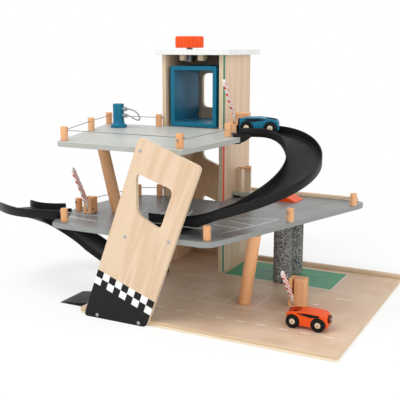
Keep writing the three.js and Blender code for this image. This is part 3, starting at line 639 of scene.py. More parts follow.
def copied(node):
    """The measured solid as whole faces."""
    shape = bmesh.new()
    shape.from_mesh(nodes[node].data)
    bmesh.ops.remove_doubles(shape, verts=shape.verts, dist=SAME_PLACE)
    bmesh.ops.dissolve_limit(shape, angle_limit=math.radians(1), verts=shape.verts, edges=shape.edges)
    return shape


def round_edges(piece, width, segments=3, angle=35):
    edge = piece.modifiers.new("edge", "BEVEL")
    edge.width = width
    edge.segments = segments
    edge.limit_method = "ANGLE"
    edge.angle_limit = math.radians(angle)
    edge.harden_normals = True
    piece.data.shade_smooth()
    return piece


def softened(node, finish, width, body="garage", segments=3, angle=35):
    """A measured solid again, with rounded edges and a finish."""
    piece = publish(node + "_finished", copied(node), finish, body, (node,))
    return round_edges(piece, width, segments, angle)


print("softened solids are ready")

# %% [markdown]
# The railings' cords are threaded through the posts and knotted outside the last one. Every
# cord follows a route: `polyline` runs straight and eases each corner, and `through` draws a
# smooth line. `carried` leads two directions along a route, so that a section that is set
# on them doesn't spin. A curve object could do this too, but its section can't have lobes
# that turn.

# %% Routes
CORNER_EASE = 0.004
EASE_SHARES = (0.0, 0.25, 0.5, 0.75, 1.0)


def polyline(points, step):
    """Points along straight stretches, close together, with each corner eased."""
    rounded = []
    for i, place in enumerate(points):
        if i in (0, len(points) - 1):
            rounded.append(place)
            continue
        before = place + (points[i - 1] - place).normalized() * CORNER_EASE
        after = place + (points[i + 1] - place).normalized() * CORNER_EASE
        for share in EASE_SHARES:
            rounded.append(before.lerp(place, share).lerp(place.lerp(after, share), share))
    route = [rounded[0]]
    for start, end in zip(rounded, rounded[1:]):
        count = max(1, round((end - start).length / step))
        route += [start.lerp(end, k / count) for k in range(1, count + 1)]
    return route


def through(points, steps):
    """A smooth line through points (Catmull-Rom)."""
    route = []
    ends = [points[0] * 2 - points[1]] + points + [points[-1] * 2 - points[-2]]
    for a, b, c, d in zip(ends, ends[1:], ends[2:], ends[3:]):
        slope = c - a
        bend = 2 * a - 5 * b + 4 * c - d
        twist = 3 * b - a - 3 * c + d
        for k in range(steps):
            t = k / steps
            route.append((2 * b + slope * t + bend * t * t + twist * t ** 3) / 2)
    route.append(points[-1].copy())
    return route


def length_of(route):
    return sum((b - a).length for a, b in zip(route, route[1:]))


def carried(route):
    """The two directions across the route at each point, carried along it without a turn."""
    frames = []
    side = None
    for i in range(len(route)):
        ahead = (route[min(i + 1, len(route) - 1)] - route[max(i - 1, 0)]).normalized()
        if side is None:
            side = ahead.orthogonal()
        side = (side - ahead * side.dot(ahead)).normalized()
        frames.append((side, ahead.cross(side)))
    return frames


print("routes can be drawn")

# %% [markdown]
# A cord could be a plain tube with a pattern in its bump, but then its outline would stay
# smooth. So the section itself has three lobes that turn along the route. The knot at each end
# is the same cord led round a trefoil, the simplest closed knot.

# %% Strands and knots
CORD_RADIUS = 0.0008
TWIST = 0.005
LOBES = 3
CORD_SIDES = 12
HOLLOW = 0.8
KNOT_STEPS = 60
KNOT_SWING = 0.0011
KNOT_WAVE = 0.0006
KNOT_DEPTH = 0.0008
KNOT_CORD = 0.0006


def twisted(route, radius):
    """A cord of three lobes that turn along the route."""
    rings = []
    gone = 0.0
    for i, (side, across) in enumerate(carried(route)):
        if i:
            gone += (route[i] - route[i - 1]).length
        ring = []
        for turn in turns_of(CORD_SIDES):
            lobe = abs(math.cos(LOBES / 2 * (turn - 2 * math.pi * gone / TWIST)))
            reach = radius * (HOLLOW + (1 - HOLLOW) * lobe)
            ring.append(route[i] + side * math.cos(turn) * reach + across * math.sin(turn) * reach)
        rings.append(ring)
    return sweep(rings)


def tube(route, radius, sides=20):
    """A plain round tube along the route."""
    rings = []
    for place, (side, across) in zip(route, carried(route)):
        rings.append([place + (side * math.cos(t) + across * math.sin(t)) * radius for t in turns_of(sides)])
    return sweep(rings)


def knot(name, centre, along):
    """A small overhand knot: a trefoil of the same cord."""
    along = along.normalized()
    side = along.orthogonal().normalized()
    across = along.cross(side)
    places = []
    for t in turns_of(KNOT_STEPS):
        swing = KNOT_SWING + KNOT_WAVE * math.cos(3 * t)
        out = swing * math.cos(2 * t)
        over = swing * math.sin(2 * t)
        places.append(centre + side * out + across * over + along * (KNOT_DEPTH * math.sin(3 * t)))
    return publish(name, hoop(places, centre, KNOT_CORD, 8), CORD, smooth=60)


print("strands and knots can be made")

# %% [markdown]
# Each railing is one cord through a row of posts, at one height above its floor. The places of
# the posts are read from their measured solids. The cord is made at its true thickness, its
# length along the route is printed, and a knot sits outside each end.

# %% Railings
POST_REACH = 0.0078
KNOT_GAP = 0.0008
RING_STEP = 0.0007
RAILINGS = {
    "top_rail_cord": (0.3473, ["top_post_1", "top_post_2", "top_post_3", "top_post_4", "top_post_5"]),
    "top_side_cord": (0.3423, ["top_post_1", "top_post_6"]),
    "middle_front_cord": (0.1903, ["middle_post_1", "middle_post_5"]),
    "middle_left_cord": (0.1903, ["middle_post_2", "middle_post_3", "middle_post_4"]),
    "middle_right_cord": (0.1903, ["middle_post_6", "middle_post_7"]),
}
for node, (height, rail_posts) in RAILINGS.items():
    corners = [middle_of(post) for post in rail_posts]
    for corner in corners:
        corner.z = height
    first = (corners[0] - corners[1]).normalized()
    last = (corners[-1] - corners[-2]).normalized()
    corners[0] = corners[0] + first * POST_REACH
    corners[-1] = corners[-1] + last * POST_REACH
    route = polyline(corners, RING_STEP)
    length = length_of(route)
    piece = publish(node + "_strands", twisted(route, CORD_RADIUS), CORD, stands_for=(node,))
    knots = [
        knot(node + "_first_knot", corners[0] + first * KNOT_GAP, first),
        knot(node + "_last_knot", corners[-1] + last * KNOT_GAP, last),
    ]
    print(node, "is", round(length * 1000), "mm long")

# %% [markdown]
# The lift's cord comes off the drum under the roof, turns down through the guide block and
# ends on the cabin's peg. When the cabin goes down, the stretch under the guide has to grow.
# Here the cord is made once, at rest, and rides on no body.

# %% Lift cord
CORD_LEVEL = 0.4747
DRUM_REACH = 0.0131
LIFT_RING_STEP = 0.00035

guide = middle_of("lift_guide")
drum = middle_of("winch_shaft")
peg_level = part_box("lift_cord")[0][2]
to_drum = Vector((drum.x - guide.x, drum.y - guide.y, 0))
reach = math.sqrt(to_drum.length_squared - DRUM_REACH ** 2)
away = to_drum.normalized()
away.rotate(Matrix.Rotation(-math.atan2(DRUM_REACH, reach), 3, "Z"))
guide_top = Vector((guide.x, guide.y, CORD_LEVEL))
drum_end = guide_top + away * reach
peg_end = Vector((guide.x, guide.y, peg_level))
lift_route = polyline([drum_end, guide_top, peg_end], LIFT_RING_STEP)
lift_length = length_of(lift_route)
lift_cord = publish("lift_cord_strands", twisted(lift_route, CORD_RADIUS), CORD,
                    body=None, stands_for=("lift_cord",))
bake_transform(lift_cord)
print("lift cord is", round(lift_length * 1000, 1), "mm long at rest")

# %% [markdown]
# The fuel hose is a plain round tube. It leaves one nozzle level, swings out and down in a
# loop, and comes back level into the other. Its points are shares of the gap between them.

# %% Fuel hose
HOSE_RADIUS = 0.0015
HOSE_SEAT = 0.0003
NOZZLE_GAP = 0.014
HOSE_SHARES = [
    (0, 0), (0.3, 0), (1.25, 0.2), (2, 0.73), (2.26, 1.45),
    (1.74, 1.6), (0.9, 1.25), (0.3, 1), (0, 1),
]

nozzle_middle = middle_of("upper_nozzle")
hose_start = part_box("fuel_hose")[0][0] + HOSE_SEAT
hose_points = []
for out, down in HOSE_SHARES:
    place = (hose_start + out * NOZZLE_GAP, nozzle_middle.y, nozzle_middle.z - down * NOZZLE_GAP)
    hose_points.append(Vector(place))
hose_route = through(hose_points, 12)
hose_length = length_of(hose_route)
hose = publish("fuel_hose_tube", tube(hose_route, HOSE_RADIUS), GREY,
               stands_for=("fuel_hose",))
print("hose is", round(hose_length * 1000, 1), "mm long")

# %% [markdown]
# The base board is plywood with a road map printed on it in thin ink, so the wood still
# shows through. The print's blotchy pink-brown is two noises over the wood's colour. The two
# upper floors are stained grey, and the stain covers nearly all of the wood.

# %% Printed floors
BOARD_DEPTH = 0.010
GROUND_LIGHT = linear(230, 204, 176)
GROUND_DARK = linear(212, 176, 148)
GROUND_PINK = linear(220, 188, 170)


def ground_face(finish, wood):
    upward = finish.facing("Z") > 0.5
    blotch = finish.noise(9.0, 5.0, 0.6)
    cloud = finish.noise(34.0, 4.0, 0.65, distortion=0.5)
    ink = finish.mix(blotch.spread(0.35, 0.65), GROUND_LIGHT, GROUND_DARK)
    ink = finish.mix(cloud.spread(0.45, 0.7) * 0.5, ink, GROUND_PINK)
    printed = finish.mix(0.72, wood, ink)
    return finish.mix(upward, wood, printed)


def deck_face(light, dark, share):
    def face(finish, wood):
        blotch = finish.noise(7.0, 4.0, 0.6)
        streak = finish.noise(1.0, 3.0, at=finish.stretched((9.0, 90.0, 90.0)))
        ink = finish.mix(blotch.spread(0.3, 0.7) * 0.5 + streak.spread(0.3, 0.7) * 0.4, light, dark)
        return finish.mix(share, wood, ink)
    return face


GREY_STAIN = deck_face(linear(136, 141, 144), linear(108, 114, 118), 0.94)
PALE_STAIN = deck_face(linear(193, 197, 194), linear(174, 179, 176), 0.92)
BASE_FINISH = board("ground_print", "Z", 0.0, BOARD_DEPTH, LENGTHWAYS, ground_face, 0.45, layers=2)
MIDDLE_FINISH = board("floor_grey", "Z", 0.161, BOARD_DEPTH, LENGTHWAYS, GREY_STAIN, 0.3,
                      edge_tone=linear(132, 140, 142))
TOP_FINISH = board("floor_pale", "Z", 0.318, BOARD_DEPTH, LENGTHWAYS, PALE_STAIN, 0.4,
                   edge_tone=linear(172, 176, 172))
RAIL_FINISH = board("rail_birch", "Z", 0.0, BOARD_DEPTH, LENGTHWAYS)
softened("base_board", BASE_FINISH, width=0.0011)
softened("middle_floor", MIDDLE_FINISH, width=0.0011)
softened("top_floor", TOP_FINISH, width=0.0011)
for node in ("base_back_rail", "middle_back_rail"):
    softened(node, RAIL_FINISH, width=0.0009)
print("floors:", BASE_FINISH.material.name, MIDDLE_FINISH.material.name, TOP_FINISH.material.name)

# %% [markdown]
# The road marks could be masks in the board's finish, but as sheets of ink they can be placed
# one by one. A sheet is a tenth of a millimetre thick and sunk a little into the board, so that
# no gap shows. Each is an outline in millimetres seen from above: most are plain strokes, and
# an arrow is a stroke with a pointed head.

# %% Ink
INK_SUNK = 0.00004
INK_DEPTH = 0.00008
HEAD_SPREAD = 0.6


def ink_finish(name, colour, under, share):
    """Thin ink that lets the board show through where it is worn."""
    finish = Finish(name, roughness=0.5)
    worn = finish.noise(70.0, 5.0, 0.65).spread(0.35, 0.75)
    streak = finish.noise(1.0, 3.0, at=finish.stretched((16.0, 500.0, 500.0))).spread(0.35, 0.7)
    tone = finish.mix(worn * 0.5 + share, colour, under)
    finish.colour(finish.mix(streak * 0.2, tone, under))
    finish.roughness(worn.spread(0.0, 1.0, 0.42, 0.58))
    finish.bump(streak, distance=0.00005, strength=0.4)
    return finish


def stroke(first, last, width):
    start = Vector(first)
    end = Vector(last)
    side = (end - start).orthogonal().normalized() * width / 2
    return [start + side, start - side, end - side, end + side]


def arrow(tail, tip, width, head):
    """A stroke that ends in a pointed head."""
    start = Vector(tail)
    end = Vector(tip)
    ahead = (end - start).normalized()
    side = ahead.orthogonal()
    neck = end - ahead * head
    half = side * width / 2
    barb = side * head * HEAD_SPREAD
    return [start + half, start - half, neck - half, neck - barb, end, neck + barb, neck + half]


def ink(name, outlines, level, finish, slot):
    """Sheets of ink from outlines in millimetres, as one piece."""
    shape = bmesh.new()
    for outline in outlines:
        flat = [millimetres(x, y) for x, y in outline]
        slab(shape, raised(flat, level - INK_SUNK), raised(flat, level + INK_DEPTH))
    return publish(name, shape, finish)


ROAD_WHITE = ink_finish("road_white", linear(244, 238, 230), GROUND_LIGHT, 0.25)
WASH_GREEN = ink_finish("wash_green", linear(76, 158, 116), linear(104, 166, 128), 0.0)
WASH_GREY = ink_finish("wash_grey", linear(92, 122, 118), linear(80, 146, 112), 0.15)
DECK_WHITE = ink_finish("deck_white", linear(240, 243, 243), linear(146, 152, 155), 0.0)
print("inks:", ROAD_WHITE.material.name, WASH_GREEN.material.name, DECK_WHITE.material.name)

# %% Road marks on the base board
BASE_LEVEL = 0.010
DASH_COUNT = 9
DASH_PITCH = 41.5
DASH_FIRST = -116
DASH_HALF = 8.5
DASH_Y = -161
BAY_LINE = 2.4
dashes = []
for k in range(DASH_COUNT):
    middle = DASH_FIRST + DASH_PITCH * k
    dashes.append(stroke((middle - DASH_HALF, DASH_Y), (middle + DASH_HALF, DASH_Y), 5))
BAY_ENDS = [
    ((-121, -94.5), (96, -94.5)),
    ((96, -95.5), (99, -71)),
    ((-121, -95.5), (-121, -8)),
    ((-70, -94.5), (-70, -5)),
    ((-17.5, -94.5), (-17.5, -5)),
    ((46, -94.5), (46, 8)),
]
bays = [stroke(first, last, BAY_LINE) for first, last in BAY_ENDS]
signs = [
    stroke((-4, 43.5), (29, 43.5), 3),
    stroke((-195, 45.5), (-131, 45.5), 3),
    arrow((105, -83), (87, -83), 5, 9),
    arrow((132, -12), (152, -12), 5, 9),
    arrow((198, 40), (165, 40), 5, 10),
]
ink("base_road_marks", dashes + bays + signs, BASE_LEVEL, ROAD_WHITE, "ground_print")
print("road marks:", len(dashes + bays + signs), "strokes")

# %% [markdown]
# The wash area is a green field with a white border and a few greyer strips. Two sheets in the
# same plane would flicker through each other, so what is printed over the green lies half a
# sheet higher.

# %% Wash area
WASH_LEFT = -100
WASH_RIGHT = 144
WASH_FRONT = 85
WASH_BACK = 206
WASH_BORDER = 3
OVER_INK = BASE_LEVEL + INK_DEPTH / 2
front_left = (WASH_LEFT, WASH_FRONT)
front_right = (WASH_RIGHT, WASH_FRONT)
back_right = (WASH_RIGHT, WASH_BACK)
back_left = (WASH_LEFT, WASH_BACK)
ink("wash_area", [[front_left, front_right, back_right, back_left]], BASE_LEVEL, WASH_GREEN, "ground_print")
wash_stripes = [
    stroke((75, 157.5), (113, 157.5), 5),
    stroke((87, 129), (114, 129), 4),
    stroke((-43, 150), (-8, 150), 12),
]
ink("wash_stripes", wash_stripes, OVER_INK, WASH_GREY, "ground_print")
corner_reach = WASH_BORDER / 2
right_side = ((WASH_RIGHT, WASH_FRONT - corner_reach), (WASH_RIGHT, WASH_BACK + corner_reach))
border = [
    stroke(front_left, front_right, WASH_BORDER),
    stroke(*right_side, WASH_BORDER),
    stroke(back_left, back_right, WASH_BORDER),
]
ink("wash_border", border, OVER_INK, ROAD_WHITE, "ground_print")
print("wash area:", WASH_RIGHT - WASH_LEFT, "by", WASH_BACK - WASH_FRONT, "mm")

# %% [markdown]
# The middle floor carries pale lines on its grey stain, which mark lanes and bays for the cars.
# They are thin strokes again, all of one width.

# %% Road marks on the middle floor
MIDDLE_LEVEL = 0.171
DECK_LINE = 3.2
DECK_ENDS = [
    ((-333, -174), (-243, -187)),
    ((-208, -95), (-102, -86)),
    ((-205, -94), (-221, -20)),
    ((-161, -89), (-172, -12)),
    ((-103, -84), (-122, -19)),
    ((11, -163), (44, -81)),
    ((44, -81), (64, -8)),
    ((44, -81), (-19, -65)),
    ((64, -8), (-12, -40)),
    ((30, -116), (-32, -107)),
]
deck_lines = [stroke(first, last, DECK_LINE) for first, last in DECK_ENDS]
ink("middle_road_marks", deck_lines, MIDDLE_LEVEL, DECK_WHITE, "floor_grey")
print("middle floor:", len(deck_lines), "strokes")

# %% [markdown]
# The slanted panel is printed at its foot with a black field under two rows of chequered
# squares. Two counts of whole squares, one across and one along the panel, give the pattern,
# and it stays sharp at any distance. They are worked out from the lean, so the squares run
# square to the panel's long sides. The face is set back by the thickness of the screw heads,
# so that they don't stand proud.

# %% Front panel
PANEL_LEAN = math.radians(20.4)
PANEL_LEFT = -0.2375
PANEL_FRONT = -0.2443
PANEL_DEPTH = 0.009
HEAD_ROOM = 0.0006
FACE_REACH = 0.0001
PANEL_WIDTH = 0.1375 * math.cos(PANEL_LEAN)
CHECK_START = 0.0739
CHECKS_ACROSS = 9
CHECK = PANEL_WIDTH / CHECKS_ACROSS
INK_BLACK = linear(12, 12, 12)
INK_WHITE = linear(244, 244, 242)


def panel_face(finish, wood):
    c = math.cos(PANEL_LEAN)
    s = math.sin(PANEL_LEAN)
    across = (finish.x - PANEL_LEFT) * c - finish.z * s
    along = (finish.x - PANEL_LEFT) * s + finish.z * c
    column = (across / CHECK).step()
    row = ((along - CHECK_START) / CHECK).step()
    odd = ((column + row) % 2.0) > 0.5
    squares = finish.mix(odd, INK_WHITE, INK_BLACK)
    rows = finish.mix(row < -0.5, squares, INK_BLACK)
    scuff = finish.noise(160.0, 5.0, 0.7).spread(0.62, 0.8) * 0.25
    rows = finish.mix(scuff, rows, wood)
    below = (row < 1.5).least(finish.facing("Y") < -0.5)
    return finish.mix(below, wood, rows)


panel_grain = towards(math.sin(PANEL_LEAN), 0, math.cos(PANEL_LEAN))
PANEL_FINISH = board("panel_birch", "Y", PANEL_FRONT, PANEL_DEPTH, panel_grain, panel_face)
panel_shape = copied("front_panel")
for vertex in panel_shape.verts:
    if vertex.co.y < PANEL_FRONT + FACE_REACH:
        vertex.co.y += HEAD_ROOM
panel = publish("front_panel_finished", panel_shape, PANEL_FINISH, "garage", ("front_panel",))
round_edges(panel, width=0.0009)
print("panel squares are", round(CHECK * 1000, 1), "mm")

# %% [markdown]
# The tower's walls are the same plywood standing on end, so the layers are counted along X in
# the side walls and along Y in the back wall. Near the front of the right-hand wall a stripe is
# painted round a sawn groove, red at the middle storey and green above and below it.

# %% Tower
GROOVE_GREEN = linear(52, 132, 104)
GROOVE_RED = linear(226, 78, 44)
MIDDLE_STOREY = (0.1665, 0.323)
STRIPE_Y = (0.0925, 0.1020)
STRIPE_REACH = 0.007
WALL_DEPTH = 0.009
LEFT_WALL = -0.255
RIGHT_WALL = -0.1165
BACK_WALL = 0.226
BLOCK_LEVEL = 0.4707
BLOCK_DEPTH = 0.012


def storey_tone(finish):
    """Red at the middle storey, green above and below it."""
    middle = (finish.z > MIDDLE_STOREY[0]).least(finish.z < MIDDLE_STOREY[1])
    return finish.mix(middle, GROOVE_GREEN, GROOVE_RED)


def groove_face(finish, wood):
    inside = (finish.y > STRIPE_Y[0]).least(finish.y < STRIPE_Y[1])
    inside = inside.least(finish.x > RIGHT_WALL + STRIPE_REACH)
    return finish.mix(inside, wood, storey_tone(finish))


LEFT_FINISH = board("tower_left_birch", "X", LEFT_WALL, WALL_DEPTH, UPWARDS)
RIGHT_FINISH = board("tower_right_birch", "X", RIGHT_WALL, WALL_DEPTH, UPWARDS, groove_face)
BACK_FINISH = board("tower_back_birch", "Y", BACK_WALL, WALL_DEPTH, UPWARDS)
BLOCK_FINISH = board("block_birch", "Z", BLOCK_LEVEL, BLOCK_DEPTH, BACKWARDS)
softened("tower_left_wall", LEFT_FINISH, width=0.0007)
softened("tower_right_wall", RIGHT_FINISH, width=0.0004, segments=2)
softened("tower_back_wall", BACK_FINISH, width=0.0007)
softened("roof", WHITE, width=0.0012)
for node in ("roof_block_left", "roof_block_right"):
    softened(node, BLOCK_FINISH, width=0.0006)
softened("lift_guide", BLOCK_FINISH, width=0.0003, segments=2)
softened("lift_cabin", TEAL, width=0.0009, body="lift")
print("tower is dressed")

# %% [markdown]
# The sawn groove itself is filled with the same two colours. The paint in it is a thin strip
# with a mesh of its own, because the measured wall has a real channel there.

# %% Painted groove
GROOVE_LOW = (-0.10868, 0.0976, 0.0106)
GROOVE_HIGH = (-0.1076, 0.1004, 0.4824)
GROOVE_FINISH = Finish("groove_paint", roughness=0.5)
GROOVE_FINISH.colour(storey_tone(GROOVE_FINISH))
GROOVE_FINISH.bump(GROOVE_FINISH.noise(700.0), distance=0.0001, strength=0.4)
groove_shape = block(bmesh.new(), GROOVE_LOW, GROOVE_HIGH)
groove = publish("groove_ink", groove_shape, GROOVE_FINISH)
round_edges(groove, width=0.0001, segments=1)
print("groove is painted")

# %% [markdown]
# The knob on the roof is turned and then fluted, so that small fingers grip it. The flutes could
# be cut out one by one, but a wave in the radius is simpler and leaves even faces: twenty soft
# waves run round the side and fade out towards the middle of the top.

# %% Winch knob and shaft
KNOB_RADIUS = 0.0315
KNOB_FOOT = 0.4975
KNOB_TOP = 0.5225
KNOB_EDGE = 0.003
DISH_EDGE = 0.72
DISH_FLOOR = 0.66
DISH_DEPTH = 0.0004
FLUTES = 20
FLUTE_DEPTH = 0.0026
FLUTE_START = 0.7


def knob_outline():
    outline = [(0.0, KNOB_FOOT), (KNOB_RADIUS - KNOB_EDGE, KNOB_FOOT)]
    for inward, upward in quarter(1, 6):
        outline.append((KNOB_RADIUS - KNOB_EDGE * inward, KNOB_FOOT + KNOB_EDGE * upward))
    for downward, inward in quarter(0, 6):
        outline.append((KNOB_RADIUS - KNOB_EDGE * inward, KNOB_TOP - KNOB_EDGE * downward))
    outline.append((KNOB_RADIUS * DISH_EDGE, KNOB_TOP))
    outline.append((KNOB_RADIUS * DISH_FLOOR, KNOB_TOP - DISH_DEPTH))
    outline.append((0.0, KNOB_TOP - DISH_DEPTH))
    return outline


def fluted(radius, turn, height):
    wave = (1 - math.cos(turn * FLUTES)) / 2
    near_side = max(0.0, (radius / KNOB_RADIUS - FLUTE_START) / (1 - FLUTE_START))
    return radius - FLUTE_DEPTH * wave * near_side


knob_shape = lathe(knob_outline(), middle_of("winch_shaft"), FLUTES * 12, fluted)
knob_piece = publish("winch_knob_fluted", knob_shape, RED, "winch", ("winch_knob",), smooth=50)
softened("winch_shaft", STEEL, width=0.0004, body="winch", segments=2)
print("knob has", len(knob_piece.data.polygons), "faces")

# %% [markdown]
# Posts are short dowels with a turned edge, and the two columns are long dowels cut level
# where they meet the floors. The measured solids have flat sides, so both are made again
# with enough sides to look round.

# %% Posts and columns
POST_RADIUS = 0.007
POST_EDGE = 0.0012
POST_FOOT_EDGE = 0.0004
POST_SIDES = 40
COLUMN_RADIUS = 0.012
COLUMN_STEPS = 24
COLUMN_SIDES = 64


def post_outline(foot, top):
    outline = [(0.0, foot), (POST_RADIUS - POST_FOOT_EDGE, foot), (POST_RADIUS, foot + POST_FOOT_EDGE)]
    for downward, inward in quarter(0, 5):
        outline.append((POST_RADIUS - POST_EDGE * inward, top - POST_EDGE * downward))
    outline.append((0.0, top))
    return outline


posts = sorted(name for name in nodes if "_post_" in name)
for name in posts:
    low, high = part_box(name)
    post_shape = lathe(post_outline(low[2], high[2]), middle_of(name), POST_SIDES)
    publish(name + "_turned", post_shape, BEECH_UP, stands_for=(name,))


def column(node, foot, head):
    """A round bar between two level cuts."""
    low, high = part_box(node)
    rings = []
    for i in range(COLUMN_STEPS + 1):
        share = i / COLUMN_STEPS
        centre = Vector(foot).lerp(Vector(head), share)
        height = low[2] + (high[2] - low[2]) * share
        circle = [(math.cos(t) * COLUMN_RADIUS, math.sin(t) * COLUMN_RADIUS) for t in turns_of(COLUMN_SIDES)]
        rings.append([(centre.x + x, centre.y + y, height) for x, y in circle])
    finish = beech(node + "_beech", towards(head[0] - foot[0], head[1] - foot[1], high[2] - low[2]))
    piece = publish(node + "_round", sweep(rings), finish, stands_for=(node,))
    return round_edges(piece, width=0.0005, segments=2)


column("lower_column", millimetres(17, -68.5), millimetres(55, -110))
column("upper_column", millimetres(-251, -100), millimetres(-287.5, -100))
print("posts:", len(posts), "and two columns")

# %% [markdown]
# Each track is one moulded channel that turns through two hundred and nine degrees and
# runs out straight. A straight channel could be bent by a modifier, but then its width and its
# walls would warp. So its section is carried along the same path as in the measured solid, in
# finer steps and with its rims rounded. The drop is eased at both ends so that cars keep
# their wheels on it.

# %% Tracks
TRACK_RADIUS = 0.101
TRACK_HALF = 0.033
TRACK_WALL = 0.0026
TRACK_FLOOR = 0.003
TRACK_RIM = 0.0174
TRACK_FILLET = 0.0016
TRACK_FOOT_EDGE = 0.0008
TRACK_START = math.radians(119)
TRACK_ARC = TRACK_RADIUS * (TRACK_START + math.pi / 2)
TRACK_STRAIGHT = 0.178
TRACK_STEPS = 220
LEAD_IN = 0.014
END_LEVEL = 0.052
EASE = 0.2
UPPER_CENTRE = millimetres(27, -75)
LOWER_CENTRE = millimetres(-392, -92)
TRACKS = {
    "upper_track": {"centre": UPPER_CENTRE, "turn": 0.0, "top": 0.3283, "drop": 0.157, "level": 0.058},
    "lower_track": {"centre": LOWER_CENTRE, "turn": math.pi, "top": 0.1713, "drop": 0.161, "level": 0.112},
}


def eased(share):
    """The share of the drop that is done, with a soft start and a soft end."""
    slope = 1 / (1 - EASE)
    if share < EASE:
        return slope * share * share / (2 * EASE)
    if share > 1 - EASE:
        return 1 - slope * (1 - share) ** 2 / (2 * EASE)
    return slope * (share - EASE / 2)


def track_section():
    """The channel's outline across the track, with rounded rims."""
    inner = TRACK_HALF - TRACK_WALL
    side = []
    for outward, upward in quarter(0, 4):
        side.append((inner - TRACK_FILLET * outward, TRACK_FLOOR + TRACK_FILLET * upward))
    half_wall = TRACK_WALL / 2
    crown = []
    for k in range(7):
        turn = math.pi * k / 6
        out = TRACK_HALF - half_wall - math.cos(turn) * half_wall
        crown.append((out, TRACK_RIM - half_wall + math.sin(turn) * half_wall))
    foot = [(TRACK_HALF, TRACK_FOOT_EDGE), (TRACK_HALF - TRACK_FOOT_EDGE, 0.0)]
    right = side + crown + foot
    left = [(-x, z) for x, z in reversed(right)]
    return right + left


def track_place(track, gone, across):
    """The place after a length of track: a short straight, the arc, then the long straight."""
    radius = TRACK_RADIUS + across
    along = gone - LEAD_IN
    if along > TRACK_ARC:
        x, y = TRACK_ARC - along, -radius
    else:
        angle = TRACK_START - max(along, 0.0) / TRACK_RADIUS
        back = min(along, 0.0)
        x = math.cos(angle) * radius + math.sin(angle) * back
        y = math.sin(angle) * radius - math.cos(angle) * back
    c = math.cos(track["turn"])
    s = math.sin(track["turn"])
    return track["centre"][0] + x * c - y * s, track["centre"][1] + x * s + y * c


def track_rings(track):
    length = LEAD_IN + TRACK_ARC + TRACK_STRAIGHT
    fall = length - track["level"] - END_LEVEL
    section = track_section()
    rings = []
    for i in range(TRACK_STEPS + 1):
        gone = length * i / TRACK_STEPS
        share = min(max((gone - track["level"]) / fall, 0.0), 1.0)
        height = track["top"] - track["drop"] * eased(share)
        rings.append([(*track_place(track, gone, across), height + up) for across, up in section])
    return rings


for node, track in TRACKS.items():
    piece = publish(node + "_moulded", sweep(track_rings(track)), BLACK, stands_for=(node,),
                    smooth=50)
    print(node, len(piece.data.polygons), "faces")

# %% [markdown]
# At its upper end each track is clipped over the edge of a floor: a thin lip lies on the floor,
# a second one grips it from below, and a short skirt under the inner wall joins the two.

# %% Track clips
LIP_REACH = -0.011
LIP_DEPTH = 0.0013
LIP_SUNK = 0.0003
GRIP_DEPTH = 0.0032
GRIP_GAP = 0.0001
SKIRT_END = 0.030
SKIRT_WALL = 0.0026
SKIRT_RISE = 0.006
SKIRT_SLOPE = 0.004
SKIRT_STEPS = 10


def patch(track, first, last, near, far):
    """Four corners between two lengths along the track and two places across it."""
    ends = [(first, near), (last, near), (last, far), (first, far)]
    return [track_place(track, gone, across) for gone, across in ends]


def track_clip(node, track):
    top = track["top"]
    under = top - LIP_SUNK - BOARD_DEPTH
    skirt_side = -TRACK_HALF - SKIRT_WALL
    shape = bmesh.new()
    lip = patch(track, LIP_REACH, 0.0, -TRACK_HALF, TRACK_HALF)
    slab(shape, raised(lip, top - LIP_SUNK), raised(lip, top + LIP_DEPTH))
    grip = patch(track, LIP_REACH, 0.0, skirt_side, TRACK_HALF)
    slab(shape, raised(grip, under - GRIP_DEPTH), raised(grip, under - GRIP_GAP))
    skirt_length = SKIRT_END - LIP_REACH
    stations = [LIP_REACH + skirt_length * k / SKIRT_STEPS for k in range(SKIRT_STEPS + 1)]
    for first, second in zip(stations, stations[1:]):
        skirt = patch(track, first, second, skirt_side, -TRACK_HALF - GRIP_GAP)
        feet = []
        for gone in (first, second, second, first):
            rise = (top + SKIRT_SLOPE - under) * max(0.0, gone) / SKIRT_END
            feet.append(under - GRIP_DEPTH + rise)
        slab(shape, raised(skirt, feet), raised(skirt, top + SKIRT_RISE))
    return publish(node + "_clip", shape, BLACK)


for node, track in TRACKS.items():
    track_clip(node, track)
print("tracks are clipped on")

# %% [markdown]
# Beside the tower's right wall, on the middle floor, is a small wooden stand, half hidden by the
# track: a grey plate on two black feet, with two boards and a turned bar across them. The feet are
# black as painted shade, which darkens the gap under the plate where the track's shadow falls.
# Each part is a plain block with softened edges, because it is seen only from far away.

# %% Service stand
STAND_FLOOR = 0.1711
STAND_FEET = 0.1765
STAND_TOP = 0.1842
STAND_BOARDS = {
    "left": (-0.1030, -0.0880, 0.2360),
    "right": (-0.0800, -0.0660, 0.2440),
}
STAND_BAR = [(0, 0), (2.2, 0), (2.2, 25), (4.2, 25.6), (4.2, 30.6), (3.4, 31.4), (0, 31.4)]
STAND_FINISH = board("stand_birch", "Y", 0.145, 0.006, UPWARDS)

# The two feet are black as painted shade: they darken the gap under the plate, where the track's shadow
# falls.
feet = bmesh.new()
block(feet, (-0.1040, 0.146, STAND_FLOOR), (-0.0970, 0.166, STAND_FEET))
block(feet, (-0.0740, 0.146, STAND_FLOOR), (-0.0670, 0.166, STAND_FEET))
publish("service_feet_painted_shade", feet, BLACK)
plate = block(bmesh.new(), (-0.1070, 0.141, STAND_FEET), (-0.0640, 0.171, STAND_TOP))
round_edges(publish("service_plate", plate, TOP_FINISH), width=0.0009)
for name, (left, right, top) in STAND_BOARDS.items():
    upright = block(bmesh.new(), (left, 0.147, STAND_TOP), (right, 0.153, top))
    round_edges(publish("service_board_" + name, upright, STAND_FINISH), width=0.0008)
bar_outline = [millimetres(radius, reach) for radius, reach in STAND_BAR]
bar = laid(bar_outline, Matrix.Translation((-0.0950, 0.1450, 0.2390)), 32)
publish("service_bar", bar, BEECH_UP)
print("service stand is in place")

# %% [markdown]
# The entry ramp is moulded and the speed hump is sawn, and both are wedges with a soft edge. The
# fuel column is turned: its foot swells out like a bell, which is a quarter of an ellipse
# between the column's radius and the foot's.

